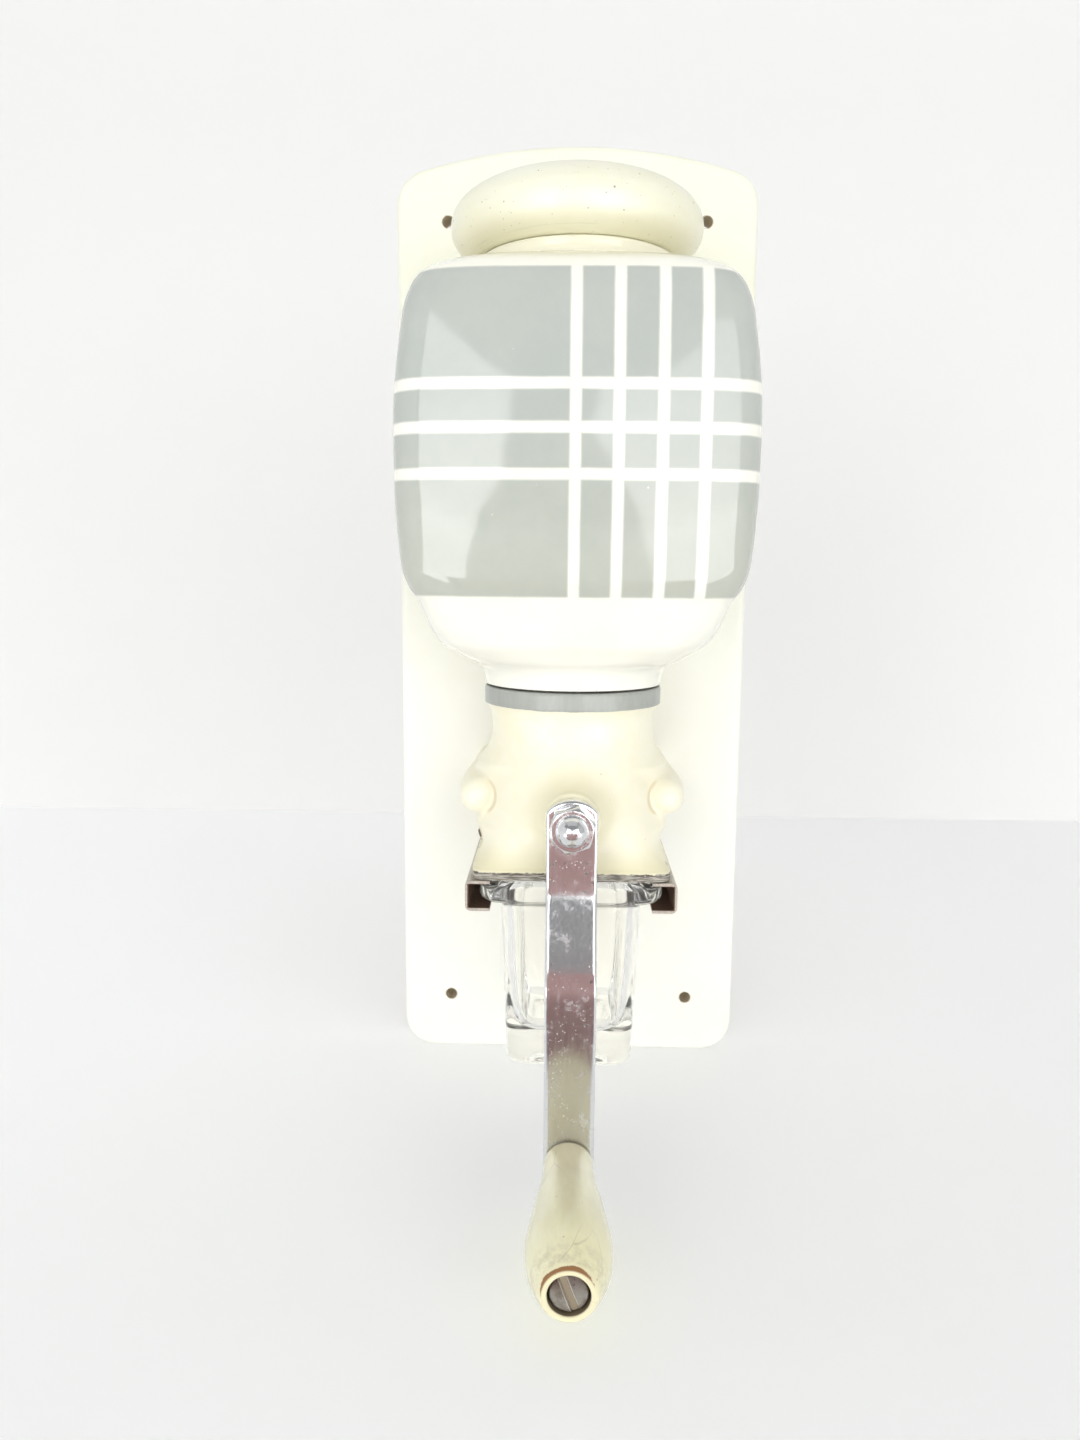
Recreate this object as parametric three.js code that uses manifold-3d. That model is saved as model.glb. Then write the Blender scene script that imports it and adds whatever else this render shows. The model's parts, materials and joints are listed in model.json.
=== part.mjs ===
// A hand-cranked coffee mill that hangs on a kitchen wall.
//
// Lengths are in millimetres and angles in degrees. The frame is +X to the right, +Z up and -Y out of
// the wall, with its origin on the board's back face, midway between the four wall holes.
// Pieces are placed by two distances: a height above the board's lower edge, and a reach in front of
// the board's front face. Values whose names end in share or shares have no unit: they are fractions
// of the sizes that they are multiplied with.

import * as THREE from 'three';
import { mergeVertices } from 'three/addons/utils/BufferGeometryUtils.js';
import Module from 'manifold-3d';

const wasm = await Module();
wasm.setup();

// Clearances

const SEAT_GAP = 0.2; // between faces that bear on each other
const RUNNING_GAP = 0.15; // on the radius, where one piece turns or slides in another
const HOLE_GAP = 0.2; // on the radius, around a screw, rivet or pin
const OVERRUN = 3; // how far a cutter runs past the face that it cuts

// The two axes that everything is set out from

const CRANK_AXIS_HEIGHT = 116; // the crank shaft runs straight out of the wall
const MILL_AXIS_REACH = 55; // hopper and mill body share one upright axis

const BOARD = {
  width: 130,
  height: 340,
  thickness: 12,
  archRadius: 197,
  cornerRadius: 12,
  edgeRadius: 2.2,
  holeSpacingX: 93,
  holeSpacingZ: 292,
  holeCentreHeight: 168,
  holeRadius: 2.2,
};

const BODY = {
  baseBelowAxis: 20.6, // underside of the base flange, below the crank axis
  topAboveAxis: 37, // top of the collar, above the crank axis
  halfWidth: 30.9,
  halfDepth: 33,
  waistRadius: 25.4,
  collarRadius: 28.8,
  wall: 4.4,
  roofBelowTop: 26, // roof of the lower hollow, below the collar's top
  throatRadius: 24,
  earSpacing: 60,
  earRadius: 5.9,
  earAboveAxis: 1.6,
  earReach: 72,
  earDomeLength: 5.4,
  upperBossAboveAxis: 25,
  bossRadius: 8.5,
  bossReach: 96.5,
  bossRootRadius: 11,
  bossRootReach: 84, // where the boss starts to narrow
  bossWaistReach: 89, // where it has narrowed to its own radius
  rearReach: 22, // the flat face that takes the rear bearing plate
};

const RING = { radius: 16, rearReach: 50, length: 16, rearInnerRadius: 13.3, frontInnerRadius: 9.7 };
const RING_TEETH = { count: 18, depth: 0.8, twist: 20 };

const CONE = {
  clearance: 1.2, // mean radial gap between cone and ring
  hubRadius: 6.8,
  hubLength: 5,
  flightLength: 9,
  flightRadius: 8.6,
  flightCoreRadius: 6.4,
};
const CONE_TEETH = { count: 16, depth: 0.8, twist: 24 };
const FLIGHTS = { count: 3, twist: 110, rows: 9 };

const CHAMBER = {
  radius: 11,
  wall: 3.2,
  frontReach: 82.5,
  feedHalfWidth: 9,
  feedRearReach: 67.5,
  feedFrontReach: 77,
};
const OUTLET = { halfWidth: 14, rearReach: 33, frontReach: 49.6 };

const SHAFT = { radius: 4, rearReach: 19, frontReach: 105.4, chamfer: 0.6 };
const CROSS_PIN = { radius: 1.2, length: 12.8 };
const BUSH = { radius: 6, flangeRadius: 7.8, flangeThickness: 1 };
const THRUST_WASHER = { radius: 7, thickness: 0.6 };
const SPRING = { wireRadius: 0.55, turns: 3, meanRadius: 5.6, sides: 5, stepsPerTurn: 8 };

const REAR_PLATE = {
  radius: 17.6,
  thickness: 3.6,
  hubRadius: 7,
  hubRearLength: 1,
  hubFrontLength: 5,
  screwSpacing: 41,
  lugRadius: 3.3,
};
const PLATE_SCREW = {
  radius: 1.5,
  headRadius: 2.7,
  headFaceRadius: 2.2,
  headHeight: 1.8,
  length: 10,
  slotWidth: 0.7,
  slotDepth: 0.9,
};

const SET_SCREW = {
  radius: 2,
  headRadius: 2.6,
  headHeight: 1.2,
  slotWidth: 0.8,
  slotDepth: 0.7,
  bossRadius: 4.2,
  bossOuterRadius: 32.6, // how far from the crank axis the boss stands out
  drop: 23, // degrees below level, towards the left
};

const BOARD_SCREW = { radius: 2, headRadius: 4, headDepth: 2.3, sink: 0.5, grip: 15, slotWidth: 1, slotDepth: 1.1 };

const RAIL = {
  width: 7.7,
  height: 9.6,
  sheet: 1,
  overallWidth: 65.4,
  rearReach: 24.2,
  frontSetback: 0.6, // behind the front of the casting's base
  bendRadius: 1.2,
};
const RIVET = { radius: 1.2, headRadius: 2.2, headHeight: 0.5, grip: 4.4, spacingX: 57.2, endDistance: 9 };

const GLASS = {
  rimHalfWidth: 29.2,
  rimStandout: 0.6, // how far the rim stands out of the rails' front ends
  rimRearGap: 0.4, // between the rim and the rails' rear stops
  rimDepthBelowRail: 0.8, // room for the rivet heads above the rim
  rimLip: 6.5, // how far the rim stands out from the cup
  height: 62.4,
  wall: 3,
  floor: 9.5,
  taper: 2, // how much narrower each side is at the foot
  travel: 10,
};

const HOPPER = {
  height: 130,
  halfWidth: 53,
  halfDepth: 50,
  neckRadius: 29,
  mouthRadius: 31,
  wall: 4,
};
const GASKET = { thickness: 1, innerRadius: 24.6, outerRadius: 28.5 };
const LID = { radius: 39.5, seatRadius: 31.4, height: 26.4, spigotLength: 6, spigotClearance: 0.5 };

const HOPPER_BOLT = { radius: 2.5, headRadius: 5, headDepth: 2.8, tail: 2, slotWidth: 1.2, slotDepth: 1.3 };
const HOPPER_SPACER = { radius: 9 };
const HOPPER_WASHER = { radius: 7, thickness: 1 };
const HOPPER_NUT = { acrossFlats: 8, height: 4 };

const ARM = {
  width: 15,
  thickness: 4,
  length: 98.5, // from the crank axis to the grip axis
  topRise: 7.9, // from the crank axis to the top end
  topRadius: 9.4,
  footRadius: 7.5,
  joggle: 11,
  bendStart: 20,
  bendEnd: 45,
  edgeBevel: 1.7,
  edgeBevelDepth: 0.9,
};
const CAP_NUT = { acrossFlats: 12.5, hexHeight: 5, domeRadius: 4.6, boreLength: 4.6, turn: 14 };

const GRIP = {
  length: 56,
  radius: 11.4,
  neckRadius: 7.35,
  endRadius: 7.2,
  recessRadius: 5.8,
  recessDepth: 3.6,
};
const GRIP_SCREW = { radius: 2.4, headRadius: 5, headHeight: 2.6, slotWidth: 2.2, slotDepth: 1.3, slotTurn: 20 };
const GRIP_WASHER = { radius: 6, thickness: 0.8 };

const HOPPER_BOLT_SHARE = 0.57; // height of the hopper's bolt, as a share of the hopper's own

// Heights and reaches worked out from the sizes above

const bodyBase = CRANK_AXIS_HEIGHT - BODY.baseBelowAxis;
const bodyTop = CRANK_AXIS_HEIGHT + BODY.topAboveAxis;
const hopperFoot = bodyTop + SEAT_GAP + GASKET.thickness + SEAT_GAP;
const hopperTop = hopperFoot + HOPPER.height;
const lidSeat = hopperTop + SEAT_GAP;
const boltHeight = hopperFoot + HOPPER.height * HOPPER_BOLT_SHARE;
const boardBack = -BOARD.thickness;
const screwHeadReach = boardBack + BOARD_SCREW.sink;
const ringFront = RING.rearReach + RING.length;
const ringBoreRadius = RING.radius + HOLE_GAP;
const ringWallRadius = ringBoreRadius + CHAMBER.wall;
const chamberWallRadius = CHAMBER.radius + CHAMBER.wall;
const shaftBoreRadius = SHAFT.radius + RUNNING_GAP;
const flightFront = ringFront + CONE.flightLength;
const railTop = bodyBase - SEAT_GAP;
const railFront = MILL_AXIS_REACH + BODY.halfDepth - RAIL.frontSetback;
const glassTop = railTop - RAIL.sheet - GLASS.rimDepthBelowRail;
const glassFoot = glassTop - GLASS.height;
const armRear = BODY.bossReach + SEAT_GAP + THRUST_WASHER.thickness + SEAT_GAP;
const armFront = armRear + ARM.thickness;
const gripAxisHeight = CRANK_AXIS_HEIGHT - ARM.length;
const gripSeat = armFront + ARM.joggle + SEAT_GAP + GRIP_WASHER.thickness + SEAT_GAP;
const gripEnd = gripSeat + GRIP.length;

// Outline tables, as shares of the sizes named beside them

// Mill body, from the underside up: height, then how far the section has gone from the waist radius to
// the collar radius, to the half width and to the half depth, and its squareness.
const BODY_SKIN_SHARES = [
  { height: 0, collar: 0, width: 1, depth: 1, square: 1 },
  { height: 0.055, collar: 0, width: 1, depth: 1, square: 1 },
  { height: 0.075, collar: 0, width: 0.58, depth: 0.88, square: 0.75 },
  { height: 0.13, collar: 0, width: 0.5, depth: 0.83, square: 0.5 },
  { height: 0.21, collar: 0, width: 0.55, depth: 0.8, square: 0.32 },
  { height: 0.3, collar: 0, width: 0.66, depth: 0.74, square: 0.18 },
  { height: 0.39, collar: 0, width: 0.7, depth: 0.62, square: 0.1 },
  { height: 0.49, collar: 0, width: 0.56, depth: 0.44, square: 0.06 },
  { height: 0.58, collar: 0, width: 0.32, depth: 0.25, square: 0.03 },
  { height: 0.67, collar: 0, width: 0.1, depth: 0.08, square: 0 },
  { height: 0.75, collar: 0, width: 0, depth: 0, square: 0 },
  { height: 0.82, collar: 0.16, width: 0, depth: 0, square: 0 },
  { height: 0.87, collar: 0.6, width: 0, depth: 0, square: 0 },
  { height: 0.9, collar: 1, width: 0, depth: 0, square: 0 },
  { height: 0.99, collar: 1, width: 0, depth: 0, square: 0 },
  { height: 1, collar: 0.88, width: 0, depth: 0, square: 0 },
];
const FLANGE_ROWS = 3; // rows of that table, from the underside, that belong to the base flange
const ROUND = 2; // a superellipse of this power is an ellipse
const BODY_SQUARE = 9;
const HOPPER_SQUARE = 7.5;
const GLASS_SQUARE = 7;

// Funnel inside the collar, from the top down: depth below the top, and the half width, half depth and
// forward shift of its section, as shares of the throat radius.
const FUNNEL_SHARES = [
  { depth: 0.14, width: 0.96, length: 0.95, shift: 0.02 },
  { depth: 0.46, width: 0.76, length: 0.6, shift: 0.3 },
  { depth: 0.74, width: 0.52, length: 0.3, shift: 0.6 },
];

// Hopper, outside, from the foot up: height, spread from the foot's radius to the half sizes, squareness.
const HOPPER_SKIN_SHARES = [
  { height: 0, spread: 0, square: 0 },
  { height: 0.018, spread: 0, square: 0 },
  { height: 0.03, spread: 0.05, square: 0.03 },
  { height: 0.048, spread: 0.22, square: 0.12 },
  { height: 0.066, spread: 0.38, square: 0.24 },
  { height: 0.09, spread: 0.54, square: 0.4 },
  { height: 0.113, spread: 0.69, square: 0.56 },
  { height: 0.15, spread: 0.81, square: 0.74 },
  { height: 0.181, spread: 0.875, square: 0.86 },
  { height: 0.235, spread: 0.94, square: 0.97 },
  { height: 0.35, spread: 0.98, square: 1 },
  { height: 0.57, spread: 1, square: 1 },
  { height: 0.79, spread: 0.96, square: 1 },
  { height: 0.873, spread: 0.79, square: 0.9 },
  { height: 0.918, spread: 0.54, square: 0.66 },
  { height: 0.944, spread: 0.3, square: 0.36 },
];
const HOPPER_SHOULDER_SHARE = 0.962; // height at which the shoulder meets the mouth's collar

// Hopper, inside, from the foot up: height, spread from the bore to the inner half sizes, squareness.
const HOPPER_HOLLOW_SHARES = [
  { height: 0, spread: 0, square: 0 },
  { height: 0.055, spread: 0.02, square: 0 },
  { height: 0.085, spread: 0.26, square: 0.16 },
  { height: 0.118, spread: 0.52, square: 0.42 },
  { height: 0.16, spread: 0.74, square: 0.7 },
  { height: 0.24, spread: 0.92, square: 0.95 },
  { height: 0.46, spread: 1, square: 1 },
  { height: 0.68, spread: 1, square: 1 },
  { height: 0.79, spread: 0.96, square: 1 },
  { height: 0.86, spread: 0.78, square: 0.9 },
  { height: 0.9, spread: 0.5, square: 0.6 },
  { height: 0.93, spread: 0.2, square: 0.3 },
];

// Lid, from its seat up: radius as a share of the widest, height as a share of the whole.
const LID_SHARES = [
  [0.87, 0.02],
  [0.95, 0.1],
  [0.99, 0.2],
  [1, 0.3],
  [0.985, 0.44],
  [0.93, 0.6],
  [0.82, 0.75],
  [0.66, 0.87],
  [0.46, 0.95],
  [0.24, 0.99],
];

// Catch cup, outside, from the foot up: height, spread from the cup's side to the rim's, and how much of
// the taper is left, with the foot's rounding as an inset in the same share.
const GLASS_SKIN_SHARES = [
  { height: 0, inset: 1.6, spread: 0, taper: 1 },
  { height: 0.03, inset: 0, spread: 0, taper: 1 },
  { height: 0.885, inset: 0, spread: 0, taper: 0.02 },
  { height: 0.896, inset: 0, spread: 0.3, taper: 0 },
  { height: 0.91, inset: 0, spread: 0.72, taper: 0 },
  { height: 0.94, inset: 0, spread: 1, taper: 0 },
  { height: 0.99, inset: 0, spread: 1, taper: 0 },
  { height: 1, inset: 0, spread: 0.94, taper: 0 },
];

// Grip, from the arm outwards: length, and the radius as a share of the widest.
const GRIP_SHARES = [
  [0.18, 0.69],
  [0.36, 0.82],
  [0.54, 0.93],
  [0.71, 1],
  [0.82, 0.96],
  [0.91, 0.85],
  [0.97, 0.71],
];

// Facets

const SIDES = { huge: 44, large: 32, medium: 24, small: 14 };
const ARC_STEPS = { fine: 8, medium: 6, coarse: 3 };
const CORNER_CROWDING = 0.55; // how much closer together a section's points are at its corners

// Geometry helpers

const X_AXIS = new THREE.Vector3(1, 0, 0);
const Y_AXIS = new THREE.Vector3(0, 1, 0);
const Z_AXIS = new THREE.Vector3(0, 0, 1);
const OUTWARDS = new THREE.Vector3(0, -1, 0);

// Turns a three.js geometry into a manifold-3d solid: shared vertices are joined, and triangles that
// have shrunk to a line, as a lathe leaves on its axis, are dropped.
function solid(geometry) {
  const bare = geometry.clone();
  bare.deleteAttribute('normal');
  bare.deleteAttribute('uv');
  const joined = mergeVertices(bare);
  const index = joined.index.array;
  const triangles = [];
  for (let i = 0; i < index.length; i += 3) {
    const [a, b, c] = [index[i], index[i + 1], index[i + 2]];
    if (a !== b && b !== c && c !== a) triangles.push(a, b, c);
  }
  return new wasm.Manifold(
    new wasm.Mesh({
      numProp: 3,
      vertProperties: joined.attributes.position.array,
      triVerts: new Uint32Array(triangles),
    }),
  );
}

const join = (first, ...others) => others.reduce((whole, other) => whole.add(other), first);
const cut = (first, ...others) => others.reduce((whole, other) => whole.subtract(other), first);

function geometryOf(manifold) {
  const { numProp, vertProperties, triVerts } = manifold.getMesh();
  const positions = new Float32Array((vertProperties.length / numProp) * 3);
  for (let i = 0; i < positions.length / 3; i += 1) {
    positions.set(vertProperties.subarray(i * numProp, i * numProp + 3), i * 3);
  }
  const geometry = new THREE.BufferGeometry();
  geometry.setAttribute('position', new THREE.BufferAttribute(positions, 3));
  geometry.setIndex(new THREE.BufferAttribute(new Uint32Array(triVerts), 1));
  geometry.computeVertexNormals();
  return geometry;
}

// A piece turned about an axis that points out of the wall. Points are [radius, reach], listed outwards
// along the rear end, forward along the outside and back in along the front end.
function turnedOutwards(points, height, sides, x = 0) {
  const profile = points.map(([radius, reach]) => new THREE.Vector2(radius, reach));
  return solid(new THREE.LatheGeometry(profile, sides).rotateZ(Math.PI).translate(x, 0, height));
}

function rodOutwards(radius, fromReach, toReach, height, sides, x = 0) {
  return turnedOutwards([[0, fromReach], [radius, fromReach], [radius, toReach], [0, toReach]], height, sides, x);
}

// A piece turned about the upright mill axis. Points are [radius, height], from the bottom outwards.
function turnedUp(points, sides) {
  const profile = points.map(([radius, height]) => new THREE.Vector2(radius, height));
  return solid(new THREE.LatheGeometry(profile, sides).rotateX(Math.PI / 2).translate(0, -MILL_AXIS_REACH, 0));
}

function box(width, depth, height, x, reach, z) {
  return solid(new THREE.BoxGeometry(width, depth, height).translate(x, -reach, z));
}

function boxBetween([x0, x1], [reach0, reach1], [z0, z1]) {
  return box(x1 - x0, reach1 - reach0, z1 - z0, (x0 + x1) / 2, (reach0 + reach1) / 2, (z0 + z1) / 2);
}

// A flat outline drawn in X and height, thickened from one reach to another. A bevel rounds its edges.
function plateOutwards(shape, fromReach, toReach, bevel, curveSegments) {
  const geometry = new THREE.ExtrudeGeometry(shape, {
    depth: toReach - fromReach - 2 * bevel,
    bevelEnabled: bevel > 0,
    bevelThickness: bevel,
    bevelSize: bevel,
    bevelOffset: -bevel,
    bevelSegments: 1,
    curveSegments,
  });
  geometry.translate(0, 0, fromReach + bevel);
  geometry.applyMatrix4(new THREE.Matrix4().makeBasis(X_AXIS, Z_AXIS, OUTWARDS));
  return solid(geometry);
}

// A flat outline drawn in Y and height, thickened across X about the middle plane, with bevelled edges.
function plateAcross(shape, width, bevelWidth, bevelDepth) {
  const geometry = new THREE.ExtrudeGeometry(shape, {
    depth: width - 2 * bevelWidth,
    bevelEnabled: true,
    bevelThickness: bevelWidth,
    bevelSize: bevelDepth,
    bevelOffset: -bevelDepth,
    bevelSegments: 1,
  });
  geometry.translate(0, 0, bevelWidth - width / 2);
  geometry.applyMatrix4(new THREE.Matrix4().makeBasis(Y_AXIS, Z_AXIS, X_AXIS));
  return solid(geometry);
}

// A skin through rings of points. Rings have equal counts and run anticlockwise, seen from the last
// ring's side. Open ends are closed by fans, or the last ring is joined to the first.
function skinThrough(rings, endless = false) {
  const count = rings[0].length;
  const points = rings.flat();
  const index = [];
  const spans = endless ? rings.length : rings.length - 1;
  for (let level = 0; level < spans; level += 1) {
    const lower = level * count;
    const upper = ((level + 1) % rings.length) * count;
    for (let i = 0; i < count; i += 1) {
      const next = (i + 1) % count;
      index.push(lower + i, lower + next, upper + next, lower + i, upper + next, upper + i);
    }
  }
  if (!endless) {
    const last = (rings.length - 1) * count;
    for (const [start, flipped] of [[0, true], [last, false]]) {
      const centre = new THREE.Vector3();
      points.slice(start, start + count).forEach((point) => centre.add(point));
      points.push(centre.divideScalar(count));
      for (let i = 0; i < count; i += 1) {
        const next = (i + 1) % count;
        const pair = flipped ? [start + next, start + i] : [start + i, start + next];
        index.push(points.length - 1, ...pair);
      }
    }
  }
  const geometry = new THREE.BufferGeometry().setFromPoints(points);
  geometry.setIndex(index);
  return solid(geometry);
}

// One level section: a superellipse about an upright axis at the given reach.
function levelSection({ height, halfWidth, halfDepth, power, reach = MILL_AXIS_REACH, sides = SIDES.huge }) {
  return Array.from({ length: sides }, (_, i) => {
    const even = (2 * Math.PI * i) / sides;
    const angle = even + (CORNER_CROWDING * Math.sin(4 * even)) / 4;
    const across = Math.abs(Math.cos(angle) / halfWidth) ** power;
    const along = Math.abs(Math.sin(angle) / halfDepth) ** power;
    const radius = (across + along) ** (-1 / power);
    return new THREE.Vector3(radius * Math.cos(angle), radius * Math.sin(angle) - reach, height);
  });
}

// One upright section of a toothed piece, square to the crank axis, with a point at each tip and root.
function toothedSection({ reach, radius, teeth, depth, turn }) {
  return Array.from({ length: 2 * teeth }, (_, i) => {
    const angle = (Math.PI * i) / teeth + THREE.MathUtils.degToRad(turn);
    const reachOut = radius + (i % 2 ? -depth : depth) / 2;
    return new THREE.Vector3(reachOut * Math.cos(angle), -reach, CRANK_AXIS_HEIGHT + reachOut * Math.sin(angle));
  });
}

const between = (from, to, share) => from + (to - from) * share;

function hexagonOutwards(acrossFlats, fromReach, toReach, height, turn = 0) {
  const tipRadius = acrossFlats / 2 / Math.cos(Math.PI / 6);
  const depth = toReach - fromReach;
  const prism = new THREE.CylinderGeometry(tipRadius, tipRadius, depth, 6);
  prism.rotateY(THREE.MathUtils.degToRad(turn)).rotateZ(Math.PI);
  return solid(prism.translate(0, -(fromReach + toReach) / 2, height));
}

// A screw with a countersunk head at the rear, pointing out of the wall.
function countersunkScrew(size, headReach, tipReach, height, x = 0) {
  const body = turnedOutwards(
    [
      [0, headReach],
      [size.headRadius, headReach],
      [size.radius, headReach + size.headDepth],
      [size.radius, tipReach - size.radius / 2],
      [size.radius / 2, tipReach],
      [0, tipReach],
    ],
    height,
    SIDES.small,
    x,
  );
  const slotLength = 2 * size.headRadius + OVERRUN;
  return cut(body, boxBetween(
    [x - slotLength / 2, x + slotLength / 2],
    [headReach - size.slotDepth, headReach + size.slotDepth],
    [height - size.slotWidth / 2, height + size.slotWidth / 2],
  ));
}

// The clearance hole for that screw, with its countersink, from behind the board to a given reach.
function countersunkHole(size, headReach, toReach, height, x = 0) {
  const radius = size.radius + HOLE_GAP;
  const headRadius = size.headRadius + HOLE_GAP;
  return turnedOutwards(
    [
      [0, boardBack - OVERRUN],
      [headRadius, boardBack - OVERRUN],
      [headRadius, headReach],
      [radius, headReach + size.headDepth],
      [radius, toReach],
      [0, toReach],
    ],
    height,
    SIDES.small,
    x,
  );
}

// Where the three body screws enter: the two ears, and the upper boss
const earHeight = CRANK_AXIS_HEIGHT + BODY.earAboveAxis;
const BODY_SCREWS = [
  { name: 'body_screw_left', x: -BODY.earSpacing / 2, height: earHeight },
  { name: 'body_screw_right', x: BODY.earSpacing / 2, height: earHeight },
  { name: 'body_screw_top', x: 0, height: CRANK_AXIS_HEIGHT + BODY.upperBossAboveAxis },
];
const bodyScrewTip = BOARD_SCREW.grip;

// Board

function boardOutline() {
  const half = BOARD.width / 2;
  const corner = BOARD.cornerRadius;
  const archCentre = BOARD.height - BOARD.archRadius;
  const cornerX = half - corner;
  const rise = Math.sqrt((BOARD.archRadius - corner) ** 2 - cornerX ** 2);
  const cornerZ = archCentre + rise;
  const turn = Math.atan2(rise, cornerX);
  const shape = new THREE.Shape();
  shape.absarc(cornerX, corner, corner, -Math.PI / 2, 0, false);
  shape.absarc(cornerX, cornerZ, corner, 0, turn, false);
  shape.absarc(0, archCentre, BOARD.archRadius, turn, Math.PI - turn, false);
  shape.absarc(-cornerX, cornerZ, corner, Math.PI - turn, Math.PI, false);
  shape.absarc(-cornerX, corner, corner, Math.PI, 1.5 * Math.PI, false);
  return shape;
}

function wallBoard() {
  const plank = plateOutwards(boardOutline(), boardBack, 0, BOARD.edgeRadius, ARC_STEPS.medium);
  const wallHoles = [-1, 1].flatMap((side) => [-1, 1].map((end) => rodOutwards(
    BOARD.holeRadius,
    boardBack - OVERRUN,
    OVERRUN,
    BOARD.holeCentreHeight + (end * BOARD.holeSpacingZ) / 2,
    SIDES.small,
    (side * BOARD.holeSpacingX) / 2,
  )));
  const screwHoles = BODY_SCREWS.map(({ x, height }) => (
    countersunkHole(BOARD_SCREW, screwHeadReach, OVERRUN, height, x)
  ));
  const boltHole = countersunkHole(HOPPER_BOLT, boardBack + BOARD_SCREW.sink, OVERRUN, boltHeight);
  return cut(plank, ...wallHoles, ...screwHoles, boltHole);
}

// Hopper, lid and what holds the hopper

function hopperRing({ height, spread, square }, rootRadius, halfWidth, halfDepth) {
  return levelSection({
    height: hopperFoot + HOPPER.height * height,
    halfWidth: between(rootRadius, halfWidth, spread),
    halfDepth: between(rootRadius, halfDepth, spread),
    power: between(ROUND, HOPPER_SQUARE, square),
  });
}

const hopperBore = HOPPER.neckRadius - HOPPER.wall;
const mouthBore = HOPPER.mouthRadius - HOPPER.wall;

function beanHopper() {
  const outside = HOPPER_SKIN_SHARES.map((row) => (
    hopperRing(row, HOPPER.neckRadius, HOPPER.halfWidth, HOPPER.halfDepth)
  ));
  const inside = HOPPER_HOLLOW_SHARES.map((row) => hopperRing(
    row,
    hopperBore,
    HOPPER.halfWidth - HOPPER.wall,
    HOPPER.halfDepth - HOPPER.wall,
  ));
  const circle = (radius, height) => levelSection({ height, halfWidth: radius, halfDepth: radius, power: ROUND });
  const shoulder = hopperFoot + HOPPER.height * HOPPER_SHOULDER_SHARE;
  const rim = [
    circle(HOPPER.mouthRadius, shoulder),
    circle(HOPPER.mouthRadius, hopperTop - HOPPER.wall / 4),
    circle(HOPPER.mouthRadius - HOPPER.wall / 4, hopperTop),
    circle(mouthBore, hopperTop),
    circle(mouthBore, shoulder - HOPPER.wall / 2),
  ];
  const shell = skinThrough([...outside, ...rim, ...inside.reverse()], true);
  const hole = rodOutwards(
    HOPPER_BOLT.radius + HOLE_GAP,
    -OVERRUN,
    MILL_AXIS_REACH - HOPPER.halfDepth + HOPPER.wall + OVERRUN,
    boltHeight,
    SIDES.small,
  );
  return cut(shell, hole);
}

const hopperBack = MILL_AXIS_REACH - HOPPER.halfDepth;
const hopperInnerBack = hopperBack + HOPPER.wall;
const washerFront = hopperInnerBack + SEAT_GAP + HOPPER_WASHER.thickness;
const nutFront = washerFront + SEAT_GAP + HOPPER_NUT.height;

const ringOutwards = (innerRadius, outerRadius, fromReach, toReach, height, sides) => turnedOutwards(
  [
    [innerRadius, fromReach],
    [outerRadius, fromReach],
    [outerRadius, toReach],
    [innerRadius, toReach],
    [innerRadius, fromReach],
  ],
  height,
  sides,
);

const hopperBolt = () => countersunkScrew(
  HOPPER_BOLT,
  boardBack + BOARD_SCREW.sink,
  nutFront + HOPPER_BOLT.tail,
  boltHeight,
);

const hopperSpacer = () => ringOutwards(
  HOPPER_BOLT.radius + HOLE_GAP,
  HOPPER_SPACER.radius,
  SEAT_GAP,
  hopperBack - SEAT_GAP,
  boltHeight,
  SIDES.small,
);

const hopperWasher = () => ringOutwards(
  HOPPER_BOLT.radius + HOLE_GAP,
  HOPPER_WASHER.radius,
  hopperInnerBack + SEAT_GAP,
  washerFront,
  boltHeight,
  SIDES.small,
);

const hopperNut = () => cut(
  hexagonOutwards(HOPPER_NUT.acrossFlats, washerFront + SEAT_GAP, nutFront, boltHeight),
  rodOutwards(HOPPER_BOLT.radius + HOLE_GAP, washerFront - OVERRUN, nutFront + OVERRUN, boltHeight, SIDES.small),
);

const hopperGasket = () => turnedUp(
  [
    [GASKET.innerRadius, bodyTop + SEAT_GAP],
    [GASKET.outerRadius, bodyTop + SEAT_GAP],
    [GASKET.outerRadius, bodyTop + SEAT_GAP + GASKET.thickness],
    [GASKET.innerRadius, bodyTop + SEAT_GAP + GASKET.thickness],
    [GASKET.innerRadius, bodyTop + SEAT_GAP],
  ],
  SIDES.large,
);

function lid() {
  const spigotRadius = mouthBore - LID.spigotClearance;
  const dome = LID_SHARES.map(([across, up]) => [LID.radius * across, lidSeat + LID.height * up]);
  return turnedUp(
    [
      [0, lidSeat - LID.spigotLength],
      [spigotRadius, lidSeat - LID.spigotLength],
      [spigotRadius, lidSeat],
      [LID.seatRadius, lidSeat],
      ...dome,
      [0, lidSeat + LID.height],
    ],
    SIDES.large,
  );
}

// Mill body

function bodyRing({ height, collar, width, depth, square }, inset = 0, heightAt = null) {
  const base = between(BODY.waistRadius, BODY.collarRadius, collar);
  return levelSection({
    height: heightAt ?? between(bodyBase, bodyTop, height),
    halfWidth: between(base, BODY.halfWidth, width) - inset,
    halfDepth: between(base, BODY.halfDepth, depth) - inset,
    power: between(ROUND, BODY_SQUARE, square),
  });
}

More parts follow.
